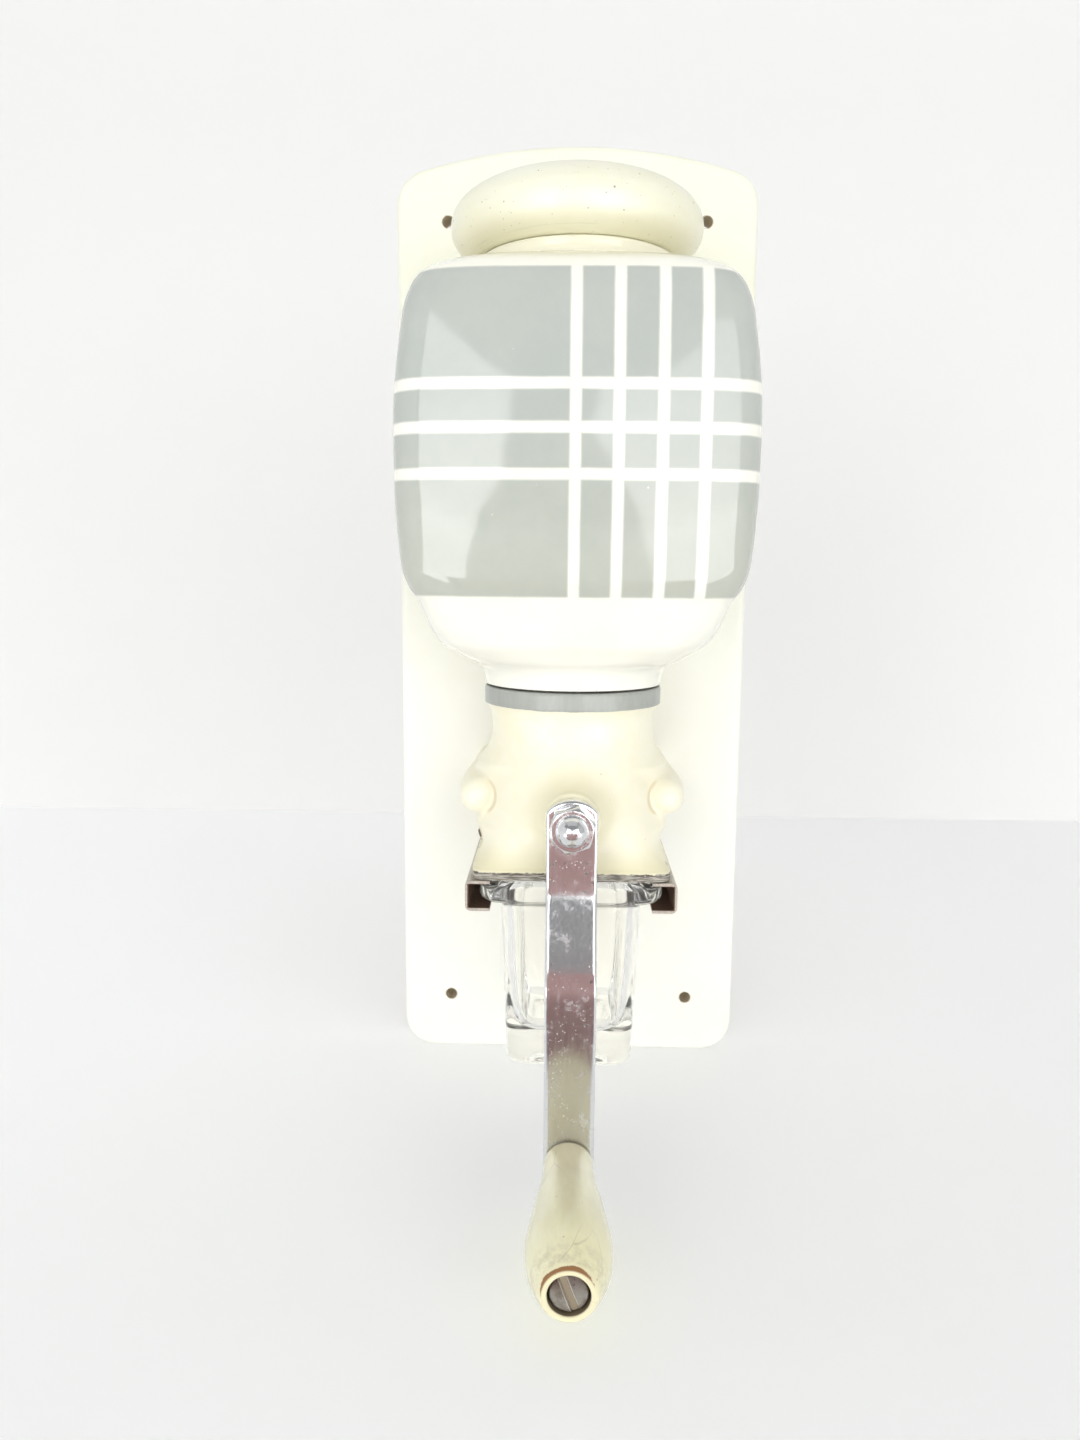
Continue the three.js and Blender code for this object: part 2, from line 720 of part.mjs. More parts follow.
// Capsules that run from the board to the ears, and a shorter one up to the waist
function bodyBosses() {
  const domed = (x, height, toReach) => turnedOutwards(
    [
      [0, SEAT_GAP],
      [BODY.earRadius, SEAT_GAP],
      [BODY.earRadius, toReach - BODY.earDomeLength],
      [BODY.earRadius * Math.cos(Math.PI / 6), toReach - BODY.earDomeLength / 2],
      [BODY.earRadius * Math.cos(Math.PI / 3), toReach - BODY.earDomeLength * (1 - Math.sin(Math.PI / 3))],
      [0, toReach],
    ],
    height,
    SIDES.medium,
    x,
  );
  const [left, right, top] = BODY_SCREWS;
  return [
    domed(left.x, left.height, BODY.earReach),
    domed(right.x, right.height, BODY.earReach),
    domed(top.x, top.height, MILL_AXIS_REACH - BODY.waistRadius + BODY.wall + BODY.earDomeLength),
  ];
}

function funnel() {
  const throat = (height) => levelSection({
    height,
    halfWidth: BODY.throatRadius,
    halfDepth: BODY.throatRadius,
    power: ROUND,
    sides: SIDES.large,
  });
  const slopes = FUNNEL_SHARES.map(({ depth, width, length, shift }) => levelSection({
    height: bodyTop - BODY.throatRadius * depth,
    halfWidth: BODY.throatRadius * width,
    halfDepth: BODY.throatRadius * length,
    power: ROUND,
    reach: MILL_AXIS_REACH + BODY.throatRadius * shift,
    sides: SIDES.large,
  }));
  const mouth = skinThrough([...slopes.reverse(), throat(bodyTop), throat(bodyTop + OVERRUN)]);
  const feed = boxBetween(
    [-CHAMBER.feedHalfWidth, CHAMBER.feedHalfWidth],
    [CHAMBER.feedRearReach, CHAMBER.feedFrontReach],
    [CRANK_AXIS_HEIGHT, bodyTop - BODY.throatRadius * FUNNEL_SHARES.at(-1).depth],
  );
  return join(mouth, feed);
}

// The set screw's line, from the crank axis down and to the left
const setScrewReach = RING.rearReach + RING.length / 2;

function alongSetScrew(points, sides) {
  const profile = points.map(([radius, distance]) => new THREE.Vector2(radius, distance));
  const turned = new THREE.LatheGeometry(profile, sides);
  turned.rotateZ(Math.PI / 2);
  turned.rotateY(-THREE.MathUtils.degToRad(SET_SCREW.drop));
  return solid(turned.translate(0, -setScrewReach, CRANK_AXIS_HEIGHT));
}

function millBody() {
  const skin = skinThrough(BODY_SKIN_SHARES.map((row) => bodyRing(row)));
  const frontBoss = turnedOutwards(
    [
      [0, CHAMBER.frontReach],
      [BODY.bossRootRadius, CHAMBER.frontReach],
      [BODY.bossRootRadius, BODY.bossRootReach],
      [BODY.bossRadius, BODY.bossWaistReach],
      [BODY.bossRadius, BODY.bossReach],
      [0, BODY.bossReach],
    ],
    CRANK_AXIS_HEIGHT,
    SIDES.medium,
  );
  const plateLugs = [-1, 1].map((side) => rodOutwards(
    REAR_PLATE.lugRadius,
    BODY.rearReach,
    BODY.rearReach + PLATE_SCREW.length,
    CRANK_AXIS_HEIGHT,
    SIDES.small,
    (side * REAR_PLATE.screwSpacing) / 2,
  ));
  const rearRim = rodOutwards(
    ringWallRadius,
    BODY.rearReach,
    ringFront,
    CRANK_AXIS_HEIGHT,
    SIDES.large,
  );
  const setScrewBoss = alongSetScrew(
    [
      [0, RING.radius],
      [SET_SCREW.bossRadius, RING.radius],
      [SET_SCREW.bossRadius, SET_SCREW.bossOuterRadius],
      [0, SET_SCREW.bossOuterRadius],
    ],
    SIDES.small,
  );

  // What stays solid inside the lower hollow
  const burrHousing = rodOutwards(ringWallRadius, 0, ringFront + CHAMBER.wall, CRANK_AXIS_HEIGHT, SIDES.large);
  const chamberHousing = rodOutwards(chamberWallRadius, ringFront, BODY.bossReach, CRANK_AXIS_HEIGHT, SIDES.large);
  const feedWalls = boxBetween(
    [-CHAMBER.feedHalfWidth - CHAMBER.wall, CHAMBER.feedHalfWidth + CHAMBER.wall],
    [CHAMBER.feedRearReach - CHAMBER.wall, BODY.bossReach],
    [CRANK_AXIS_HEIGHT, bodyTop],
  );
  const roof = bodyTop - BODY.roofBelowTop;
  const hollowRows = BODY_SKIN_SHARES.filter(({ height }) => between(bodyBase, bodyTop, height) < roof);
  const innerRows = hollowRows.slice(FLANGE_ROWS);
  const hollow = skinThrough([
    bodyRing(innerRows[0], BODY.wall - SEAT_GAP, bodyBase - OVERRUN),
    ...innerRows.map((row) => bodyRing(row, BODY.wall)),
    bodyRing(innerRows.at(-1), 2 * BODY.wall, roof),
  ]);
  const lowerHollow = cut(hollow, burrHousing, chamberHousing, feedWalls, setScrewBoss, ...bodyBosses(), ...plateLugs);

  const ringBore = rodOutwards(ringBoreRadius, BODY.rearReach - OVERRUN, ringFront, CRANK_AXIS_HEIGHT, SIDES.large);
  const chamber = rodOutwards(CHAMBER.radius, ringFront - OVERRUN, CHAMBER.frontReach, CRANK_AXIS_HEIGHT, SIDES.medium);
  const bushBore = rodOutwards(
    BUSH.radius + HOLE_GAP,
    CHAMBER.frontReach - OVERRUN,
    BODY.bossReach + OVERRUN,
    CRANK_AXIS_HEIGHT,
    SIDES.medium,
  );
  const outlet = boxBetween(
    [-OUTLET.halfWidth, OUTLET.halfWidth],
    [OUTLET.rearReach, OUTLET.frontReach],
    [bodyBase - OVERRUN, CRANK_AXIS_HEIGHT],
  );
  const screwHoles = BODY_SCREWS.map(({ x, height }) => rodOutwards(
    BOARD_SCREW.radius + HOLE_GAP,
    -OVERRUN,
    bodyScrewTip + SEAT_GAP,
    height,
    SIDES.small,
    x,
  ));
  const plateScrewHoles = [-1, 1].map((side) => rodOutwards(
    PLATE_SCREW.radius + HOLE_GAP,
    BODY.rearReach - OVERRUN,
    plateScrewTip + SEAT_GAP,
    CRANK_AXIS_HEIGHT,
    SIDES.small,
    (side * REAR_PLATE.screwSpacing) / 2,
  ));
  const rivetHoles = RIVETS.map(({ x, reach }) => rodUp(
    RIVET.radius + HOLE_GAP,
    bodyBase - OVERRUN,
    railTop - RAIL.sheet + RIVET.grip + SEAT_GAP,
    x,
    reach,
  ));
  const setScrewHole = alongSetScrew(
    [
      [0, 0],
      [SET_SCREW.radius + HOLE_GAP, 0],
      [SET_SCREW.radius + HOLE_GAP, SET_SCREW.bossOuterRadius + OVERRUN],
      [0, SET_SCREW.bossOuterRadius + OVERRUN],
    ],
    SIDES.small,
  );
  const behindRear = boxBetween(
    [-BODY.halfWidth, BODY.halfWidth],
    [MILL_AXIS_REACH - BODY.halfDepth - OVERRUN, BODY.rearReach],
    [bodyBase - OVERRUN, CRANK_AXIS_HEIGHT + ringWallRadius],
  );
  return cut(
    join(cut(join(skin, frontBoss, rearRim, ...plateLugs), behindRear), setScrewBoss, ...bodyBosses()),
    lowerHollow,
    funnel(),
    ringBore,
    chamber,
    bushBore,
    outlet,
    setScrewHole,
    ...screwHoles,
    ...plateScrewHoles,
    ...rivetHoles,
  );
}

// Rails and their rivets

function rodUp(radius, fromHeight, toHeight, x, reach) {
  const rod = new THREE.CylinderGeometry(radius, radius, toHeight - fromHeight, SIDES.small);
  return solid(rod.rotateX(Math.PI / 2).translate(x, -reach, (fromHeight + toHeight) / 2));
}

const RIVETS = [
  { name: 'rail_rivet_left_rear', side: -1, reach: RAIL.rearReach + RIVET.endDistance },
  { name: 'rail_rivet_left_front', side: -1, reach: railFront - RIVET.endDistance },
  { name: 'rail_rivet_right_rear', side: 1, reach: RAIL.rearReach + RIVET.endDistance },
  { name: 'rail_rivet_right_front', side: 1, reach: railFront - RIVET.endDistance },
].map((rivet) => ({ ...rivet, x: (rivet.side * RIVET.spacingX) / 2 }));

// The rail's C section, drawn as the right-hand one, with its open side towards the middle
function railOutline(side) {
  const outer = RAIL.overallWidth / 2;
  const inner = outer - RAIL.width;
  const low = railTop - RAIL.height;
  const lip = RAIL.sheet;
  const bend = RAIL.bendRadius;
  const shape = new THREE.Shape();
  shape.moveTo(inner, low);
  shape.lineTo(outer - bend, low);
  shape.absarc(outer - bend, low + bend, bend, -Math.PI / 2, 0, false);
  shape.absarc(outer - bend, railTop - bend, bend, 0, Math.PI / 2, false);
  shape.lineTo(inner, railTop);
  shape.lineTo(inner, railTop - lip);
  shape.lineTo(outer - lip, railTop - lip);
  shape.lineTo(outer - lip, low + lip);
  shape.lineTo(inner, low + lip);
  if (side > 0) return shape;
  return new THREE.Shape(shape.getPoints(ARC_STEPS.coarse).map((point) => new THREE.Vector2(-point.x, point.y)).reverse());
}

function rail(side) {
  const channel = plateOutwards(railOutline(side), RAIL.rearReach, railFront, 0, ARC_STEPS.coarse);
  const outer = RAIL.overallWidth / 2;
  const low = railTop - RAIL.height;
  const stopX = [side * (outer - RAIL.width), side * (outer - RAIL.sheet / 2)].sort((a, b) => a - b);
  const rearStop = boxBetween(
    stopX,
    [RAIL.rearReach, RAIL.rearReach + RAIL.sheet],
    [low + RAIL.sheet / 2, railTop - RAIL.sheet / 2],
  );
  const holes = RIVETS.filter((rivet) => rivet.side === side).map(({ x, reach }) => (
    rodUp(RIVET.radius + HOLE_GAP, railTop - RAIL.sheet - SEAT_GAP, railTop + OVERRUN, x, reach)
  ));
  return cut(join(channel, rearStop), ...holes);
}

function railRivet({ x, reach }) {
  const under = railTop - RAIL.sheet - SEAT_GAP;
  const points = [
    [0, under - RIVET.headHeight],
    [RIVET.headRadius, under - RIVET.headHeight],
    [RIVET.headRadius, under],
    [RIVET.radius, under],
    [RIVET.radius, under + RIVET.grip],
    [0, under + RIVET.grip],
  ].map(([radius, height]) => new THREE.Vector2(radius, height));
  return solid(new THREE.LatheGeometry(points, SIDES.small).rotateX(Math.PI / 2).translate(x, -reach, 0));
}

// Catch cup

function catchGlass() {
  const rimFront = railFront + GLASS.rimStandout;
  const rimRear = RAIL.rearReach + RAIL.sheet + GLASS.rimRearGap;
  const reach = (rimFront + rimRear) / 2;
  const rimHalfDepth = (rimFront - rimRear) / 2;
  const sideX = GLASS.rimHalfWidth - GLASS.rimLip;
  const sideY = rimHalfDepth - GLASS.rimLip;
  const section = (height, halfWidth, halfDepth) => levelSection({
    height,
    halfWidth,
    halfDepth,
    power: GLASS_SQUARE,
    reach,
    sides: SIDES.large,
  });
  const outside = GLASS_SKIN_SHARES.map(({ height, inset, spread, taper }) => {
    const grow = GLASS.rimLip * spread - GLASS.taper * (taper + inset);
    return section(glassFoot + GLASS.height * height, sideX + grow, sideY + grow);
  });
  const inset = GLASS.wall;
  const floor = glassFoot + GLASS.floor;
  const inside = [
    section(glassTop, sideX - inset, sideY - inset),
    section(floor + inset, sideX - inset - GLASS.taper, sideY - inset - GLASS.taper),
    section(floor, sideX - 2 * inset - GLASS.taper, sideY - 2 * inset - GLASS.taper),
  ];
  return skinThrough([...outside, ...inside]);
}

// Burrs and shaft

function coneProfile(reach) {
  const share = (reach - RING.rearReach) / RING.length;
  return between(RING.rearInnerRadius, RING.frontInnerRadius, share);
}

const STEPS = [0, 1 / 4, 2 / 4, 3 / 4, 1];

function burrRing() {
  const blank = rodOutwards(RING.radius, RING.rearReach, ringFront - SEAT_GAP, CRANK_AXIS_HEIGHT, SIDES.large);
  const from = RING.rearReach - OVERRUN;
  const to = ringFront + OVERRUN;
  const cutter = skinThrough(STEPS.map((share) => {
    const reach = between(from, to, share);
    return toothedSection({
      reach,
      radius: coneProfile(reach),
      teeth: RING_TEETH.count,
      depth: RING_TEETH.depth,
      turn: RING_TEETH.twist * share,
    });
  }));
  return cut(blank, cutter);
}

function burrCone() {
  const teeth = skinThrough(STEPS.map((share) => {
    const reach = between(RING.rearReach, ringFront, share);
    return toothedSection({
      reach,
      radius: coneProfile(reach) - CONE.clearance,
      teeth: CONE_TEETH.count,
      depth: CONE_TEETH.depth,
      turn: -CONE_TEETH.twist * share,
    });
  }));
  const rows = Array.from({ length: FLIGHTS.rows }, (_, i) => i / (FLIGHTS.rows - 1));
  const mean = (CONE.flightRadius + CONE.flightCoreRadius) / 2;
  const sides = SIDES.small;
  const flights = skinThrough(rows.map((share) => {
    const reach = between(ringFront - RING_TEETH.depth, flightFront, share);
    const turn = THREE.MathUtils.degToRad(-FLIGHTS.twist * share);
    return Array.from({ length: sides }, (_, i) => {
      const angle = (2 * Math.PI * i) / sides + turn;
      const wave = Math.cos((FLIGHTS.count * 2 * Math.PI * i) / sides);
      const radius = mean + ((CONE.flightRadius - CONE.flightCoreRadius) / 2) * wave;
      return new THREE.Vector3(radius * Math.cos(angle), -reach, CRANK_AXIS_HEIGHT + radius * Math.sin(angle));
    });
  }));
  const hub = rodOutwards(
    CONE.hubRadius,
    RING.rearReach - CONE.hubLength,
    RING.rearReach + CONE.hubLength,
    CRANK_AXIS_HEIGHT,
    SIDES.medium,
  );
  const bore = rodOutwards(shaftBoreRadius, 0, BODY.bossReach, CRANK_AXIS_HEIGHT, SIDES.medium);
  return cut(join(teeth, flights, hub), bore, crossHole());
}

const pinReach = RING.rearReach - CONE.hubLength / 2;

function rodAcross(radius, length) {
  const rod = new THREE.CylinderGeometry(radius, radius, length, SIDES.small);
  return solid(rod.rotateZ(Math.PI / 2).translate(0, -pinReach, CRANK_AXIS_HEIGHT));
}

const crossHole = () => rodAcross(CROSS_PIN.radius + HOLE_GAP, 2 * CONE.hubRadius + OVERRUN);
const crossPin = () => rodAcross(CROSS_PIN.radius, CROSS_PIN.length);

function crankShaft() {
  const { radius, rearReach, frontReach, chamfer } = SHAFT;
  const rod = turnedOutwards(
    [
      [0, rearReach],
      [radius - chamfer, rearReach],
      [radius, rearReach + chamfer],
      [radius, frontReach - chamfer],
      [radius - chamfer, frontReach],
      [0, frontReach],
    ],
    CRANK_AXIS_HEIGHT,
    SIDES.medium,
  );
  return cut(rod, crossHole());
}

const bushFlangeFront = CHAMBER.frontReach - SEAT_GAP;
const bushFlangeRear = bushFlangeFront - BUSH.flangeThickness;

const frontBush = () => turnedOutwards(
  [
    [shaftBoreRadius, bushFlangeRear],
    [BUSH.flangeRadius, bushFlangeRear],
    [BUSH.flangeRadius, bushFlangeFront],
    [BUSH.radius, bushFlangeFront],
    [BUSH.radius, BODY.bossReach - SEAT_GAP],
    [shaftBoreRadius, BODY.bossReach - SEAT_GAP],
    [shaftBoreRadius, bushFlangeRear],
  ],
  CRANK_AXIS_HEIGHT,
  SIDES.medium,
);

class Helix extends THREE.Curve {
  constructor(radius, fromReach, toReach, turns) {
    super();
    Object.assign(this, { radius, fromReach, toReach, turns });
  }

  getPoint(share, target = new THREE.Vector3()) {
    const angle = 2 * Math.PI * this.turns * share;
    return target.set(
      this.radius * Math.cos(angle),
      -between(this.fromReach, this.toReach, share),
      CRANK_AXIS_HEIGHT + this.radius * Math.sin(angle),
    );
  }
}

function coneSpring() {
  const from = flightFront + SEAT_GAP + SPRING.wireRadius;
  const to = bushFlangeRear - SEAT_GAP - SPRING.wireRadius;
  const wire = new THREE.Shape();
  wire.absarc(0, 0, SPRING.wireRadius, 0, 2 * Math.PI, false);
  const section = new THREE.Shape(wire.getSpacedPoints(SPRING.sides).slice(0, -1));
  return solid(new THREE.ExtrudeGeometry(section, {
    steps: SPRING.turns * SPRING.stepsPerTurn,
    extrudePath: new Helix(SPRING.meanRadius, from, to, SPRING.turns),
  }));
}

const thrustWasher = () => ringOutwards(
  shaftBoreRadius,
  THRUST_WASHER.radius,
  BODY.bossReach + SEAT_GAP,
  BODY.bossReach + SEAT_GAP + THRUST_WASHER.thickness,
  CRANK_AXIS_HEIGHT,
  SIDES.medium,
);

function setScrew() {
  const { radius, headRadius, headHeight, slotWidth, slotDepth, bossOuterRadius } = SET_SCREW;
  const seat = bossOuterRadius + SEAT_GAP;
  const tip = RING.radius + SEAT_GAP;
  const screw = alongSetScrew(
    [[0, tip], [radius, tip], [radius, seat], [headRadius, seat], [headRadius, seat + headHeight], [0, seat + headHeight]],
    SIDES.small,
  );
  const slot = new THREE.BoxGeometry(2 * slotDepth, 2 * headRadius + OVERRUN, slotWidth);
  slot.translate(-(seat + headHeight), 0, 0);
  slot.rotateY(-THREE.MathUtils.degToRad(SET_SCREW.drop));
  return cut(screw, solid(slot.translate(0, -setScrewReach, CRANK_AXIS_HEIGHT)));
}

// Rear bearing plate and its screws

const plateFront = BODY.rearReach - SEAT_GAP;
const plateRear = plateFront - REAR_PLATE.thickness;
const plateScrewSeat = plateRear - SEAT_GAP;
const plateScrewTip = plateScrewSeat + PLATE_SCREW.length;

function rearBearingPlate() {
  const disc = rodOutwards(REAR_PLATE.radius, plateRear, plateFront, CRANK_AXIS_HEIGHT, SIDES.large);
  const hub = rodOutwards(
    REAR_PLATE.hubRadius,
    plateRear - REAR_PLATE.hubRearLength,
    plateFront + REAR_PLATE.hubFrontLength,
    CRANK_AXIS_HEIGHT,
    SIDES.medium,
  );
  const bore = rodOutwards(shaftBoreRadius, 0, MILL_AXIS_REACH, CRANK_AXIS_HEIGHT, SIDES.medium);
  const lugs = [-1, 1].map((side) => rodOutwards(
    REAR_PLATE.lugRadius,
    plateRear,
    plateFront,
    CRANK_AXIS_HEIGHT,
    SIDES.medium,
    (side * REAR_PLATE.screwSpacing) / 2,
  ));
  const bridge = boxBetween(
    [-REAR_PLATE.screwSpacing / 2, REAR_PLATE.screwSpacing / 2],
    [plateRear, plateFront],
    [CRANK_AXIS_HEIGHT - REAR_PLATE.lugRadius, CRANK_AXIS_HEIGHT + REAR_PLATE.lugRadius],
  );
  const holes = [-1, 1].map((side) => rodOutwards(
    PLATE_SCREW.radius + HOLE_GAP,
    plateRear - OVERRUN,
    plateFront + OVERRUN,
    CRANK_AXIS_HEIGHT,
    SIDES.small,
    (side * REAR_PLATE.screwSpacing) / 2,
  ));
  return cut(join(disc, hub, bridge, ...lugs), bore, ...holes);
}

function plateScrew(side) {
  const x = (side * REAR_PLATE.screwSpacing) / 2;
  const { radius, headRadius, headFaceRadius, headHeight, slotWidth, slotDepth } = PLATE_SCREW;
  const headRear = plateScrewSeat - headHeight;
  const screw = turnedOutwards(
    [
      [0, headRear],
      [headFaceRadius, headRear],
      [headRadius, headRear + headHeight / 2],
      [headRadius, plateScrewSeat],
      [radius, plateScrewSeat],
      [radius, plateScrewTip],
      [0, plateScrewTip],
    ],
    CRANK_AXIS_HEIGHT,
    SIDES.small,
    x,
  );
  return cut(screw, boxBetween(
    [x - headRadius - OVERRUN, x + headRadius + OVERRUN],
    [headRear - slotDepth, headRear + slotDepth],
    [CRANK_AXIS_HEIGHT - slotWidth / 2, CRANK_AXIS_HEIGHT + slotWidth / 2],
  ));
}

// Crank

function crankArm() {
  const rise = ARM.bendEnd - ARM.bendStart;
  const slope = Math.atan2(ARM.joggle, rise);
  const corner = (ARM.thickness / 2) * Math.tan(slope / 2); // keeps the strip's thickness round a bend
  const top = CRANK_AXIS_HEIGHT + ARM.topRise;
  const bottom = gripAxisHeight - ARM.footRadius;
  const bendTop = CRANK_AXIS_HEIGHT - ARM.bendStart;
  const bendBottom = CRANK_AXIS_HEIGHT - ARM.bendEnd;
  const side = new THREE.Shape();
  side.moveTo(-armRear, top);
  side.lineTo(-armFront, top);
  side.lineTo(-armFront, bendTop + corner);
  side.lineTo(-armFront - ARM.joggle, bendBottom + corner);
  side.lineTo(-armFront - ARM.joggle, bottom);
  side.lineTo(-armRear - ARM.joggle, bottom);
  side.lineTo(-armRear - ARM.joggle, bendBottom - corner);
  side.lineTo(-armRear, bendTop - corner);
  const strip = plateAcross(side, ARM.width, ARM.edgeBevel, ARM.edgeBevelDepth);
  const outline = new THREE.Shape();
  const shoulder = Math.acos(ARM.width / 2 / ARM.topRadius); // where the top's arc meets the straight sides
  outline.absarc(0, top - ARM.topRadius, ARM.topRadius, shoulder, Math.PI - shoulder, false);
  outline.absarc(0, gripAxisHeight, ARM.footRadius, Math.PI, 2 * Math.PI, false);
  const blank = plateOutwards(outline, armRear - OVERRUN, armFront + ARM.joggle + OVERRUN, 0, ARC_STEPS.fine);
  const shaftHole = rodOutwards(shaftBoreRadius, armRear - OVERRUN, armFront + OVERRUN, CRANK_AXIS_HEIGHT, SIDES.medium);
  const screwHole = rodOutwards(
    GRIP_SCREW.radius + HOLE_GAP,
    armRear,
    armFront + ARM.joggle + OVERRUN,
    gripAxisHeight,
    SIDES.small,
  );
  return cut(strip.intersect(blank), shaftHole, screwHole);
}

function capNut() {
  const { acrossFlats, hexHeight, domeRadius, boreLength, turn } = CAP_NUT;
  const rear = armFront + SEAT_GAP;
  const front = rear + hexHeight;
  const tipRadius = acrossFlats / 2 / Math.cos(Math.PI / 6);
  const chamfer = turnedOutwards(
    [
      [0, rear],
      [tipRadius, rear],
      [tipRadius, front - (tipRadius - acrossFlats / 2)],
      [acrossFlats / 2, front],
      [0, front],
    ],
    CRANK_AXIS_HEIGHT,
    SIDES.large,
  );
  const domePoints = [0, 1 / 4, 1 / 2, 3 / 4].map((share) => {
    const angle = (share * Math.PI) / 2;
    return [domeRadius * Math.cos(angle), front + domeRadius * Math.sin(angle)];
  });
  const dome = turnedOutwards(
    [[0, rear + hexHeight / 2], [domeRadius, rear + hexHeight / 2], ...domePoints, [0, front + domeRadius]],
    CRANK_AXIS_HEIGHT,
    SIDES.medium,
  );
  const hexagon = hexagonOutwards(acrossFlats, rear, front, CRANK_AXIS_HEIGHT, turn);
  const bore = rodOutwards(shaftBoreRadius, rear - OVERRUN, rear + boreLength, CRANK_AXIS_HEIGHT, SIDES.medium);
  return cut(join(hexagon.intersect(chamfer), dome), bore);
}

// Grip

const recessFloor = gripEnd - GRIP.recessDepth;

function grip() {
  const bore = GRIP_SCREW.radius + RUNNING_GAP;
  const swell = GRIP_SHARES.map(([along, across]) => [GRIP.radius * across, gripSeat + GRIP.length * along]);
  return turnedOutwards(
    [
      [bore, gripSeat],
      [GRIP.neckRadius, gripSeat],
      ...swell,
      [GRIP.endRadius, gripEnd],
      [GRIP.recessRadius, gripEnd],
      [GRIP.recessRadius, recessFloor],
      [bore, recessFloor],
      [bore, gripSeat],
    ],
    gripAxisHeight,
    SIDES.medium,
  );
}

function gripScrew() {
  const { radius, headRadius, headHeight, slotWidth, slotDepth, slotTurn } = GRIP_SCREW;
  const seat = recessFloor + SEAT_GAP;
  const face = seat + headHeight;
  const screw = turnedOutwards(
    [
      [0, armRear + ARM.joggle],
      [radius, armRear + ARM.joggle],
      [radius, seat],
      [headRadius, seat],
      [headRadius, face - headHeight / 4],
      [headRadius - headHeight / 4, face],
      [0, face],
    ],
    gripAxisHeight,
    SIDES.medium,
  );
  const slot = new THREE.BoxGeometry(slotWidth, 2 * slotDepth, 2 * headRadius + OVERRUN);
  slot.rotateY(-THREE.MathUtils.degToRad(slotTurn));
  return cut(screw, solid(slot.translate(0, -face, gripAxisHeight)));
}

const gripWasher = () => ringOutwards(
  GRIP_SCREW.radius + RUNNING_GAP,
  GRIP_WASHER.radius,
  armFront + ARM.joggle + SEAT_GAP,
  armFront + ARM.joggle + SEAT_GAP + GRIP_WASHER.thickness,
  gripAxisHeight,
  SIDES.small,
);

// Materials

const finish = (color, roughness, metalness, extra = {}) => new THREE.MeshStandardMaterial({
  color,
  roughness,
  metalness,
  ...extra,
});

const MATERIALS = {
  boardPaint: () => finish(0xf3f1e6, 0.55, 0),
  lidPaint: () => finish(0xe9e3c6, 0.45, 0),
  gripPaint: () => finish(0xd9d2ab, 0.35, 0),
  bodyPaint: () => finish(0xf0e9cc, 0.4, 0),
  glaze: () => finish(0xf6f2e2, 0.12, 0),
  rubber: () => finish(0x3a3c3c, 0.8, 0),
  chrome: () => finish(0xd4d6d8, 0.08, 1),
  steel: () => finish(0x9a9a98, 0.35, 1),
  rustySteel: () => finish(0x6d5f52, 0.6, 0.7),
  castIron: () => finish(0x4a4a4c, 0.6, 0.8),
  brass: () => finish(0xb08d4a, 0.3, 1),
  glass: () => finish(0xe6ece8, 0.05, 0, { transparent: true, opacity: 0.4 }),
};

// Assembly. The inner group stands on the board's lower edge and front face; the outer group's frame is
// the part's own.

const mill = new THREE.Group();
mill.position.set(0, -BOARD.thickness, -BOARD.holeCentreHeight);

function place(name, manifold, material) {
  const mesh = new THREE.Mesh(geometryOf(manifold), material());
  mesh.name = name;
  mill.add(mesh);
}

place('wall_board', wallBoard(), MATERIALS.boardPaint);
place('bean_hopper', beanHopper(), MATERIALS.glaze);
place('lid', lid(), MATERIALS.lidPaint);
place('hopper_gasket', hopperGasket(), MATERIALS.rubber);
place('hopper_bolt', hopperBolt(), MATERIALS.steel);
place('hopper_spacer', hopperSpacer(), MATERIALS.rubber);
place('hopper_washer', hopperWasher(), MATERIALS.steel);
place('hopper_nut', hopperNut(), MATERIALS.steel);

place('mill_body', millBody(), MATERIALS.bodyPaint);
for (const { name, x, height } of BODY_SCREWS) {
  place(name, countersunkScrew(BOARD_SCREW, screwHeadReach, bodyScrewTip, height, x), MATERIALS.steel);
}
place('front_bush', frontBush(), MATERIALS.brass);
place('burr_ring', burrRing(), MATERIALS.castIron);
place('ring_set_screw', setScrew(), MATERIALS.rustySteel);
place('rear_bearing_plate', rearBearingPlate(), MATERIALS.castIron);
place('plate_screw_left', plateScrew(-1), MATERIALS.steel);
place('plate_screw_right', plateScrew(1), MATERIALS.steel);

place('rail_left', rail(-1), MATERIALS.rustySteel);
place('rail_right', rail(1), MATERIALS.rustySteel);
for (const rivet of RIVETS) place(rivet.name, railRivet(rivet), MATERIALS.steel);
place('catch_glass', catchGlass(), MATERIALS.glass);

place('crank_shaft', crankShaft(), MATERIALS.steel);
place('burr_cone', burrCone(), MATERIALS.castIron);
place('cone_pin', crossPin(), MATERIALS.steel);
place('cone_spring', coneSpring(), MATERIALS.steel);
place('thrust_washer', thrustWasher(), MATERIALS.steel);
place('crank_arm', crankArm(), MATERIALS.chrome);
place('cap_nut', capNut(), MATERIALS.chrome);
place('grip', grip(), MATERIALS.gripPaint);
place('grip_screw', gripScrew(), MATERIALS.steel);
place('grip_washer', gripWasher(), MATERIALS.steel);

const part = new THREE.Group();
part.name = 'coffee_mill';
part.add(mill);

export default part;
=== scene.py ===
"""Wall coffee mill: the looks around the packed frame.

Shapes are worked out in the mill's own coordinates, in millimetres: x to the right, reach in front of
the board's front face, and height above the board's lower edge.
"""

import json
import math
from types import SimpleNamespace

import bmesh
import bpy
import numpy as np
from bpy.props import FloatProperty, FloatVectorProperty, PointerProperty
from mathutils import Matrix, Vector
from mathutils.geometry import tessellate_polygon

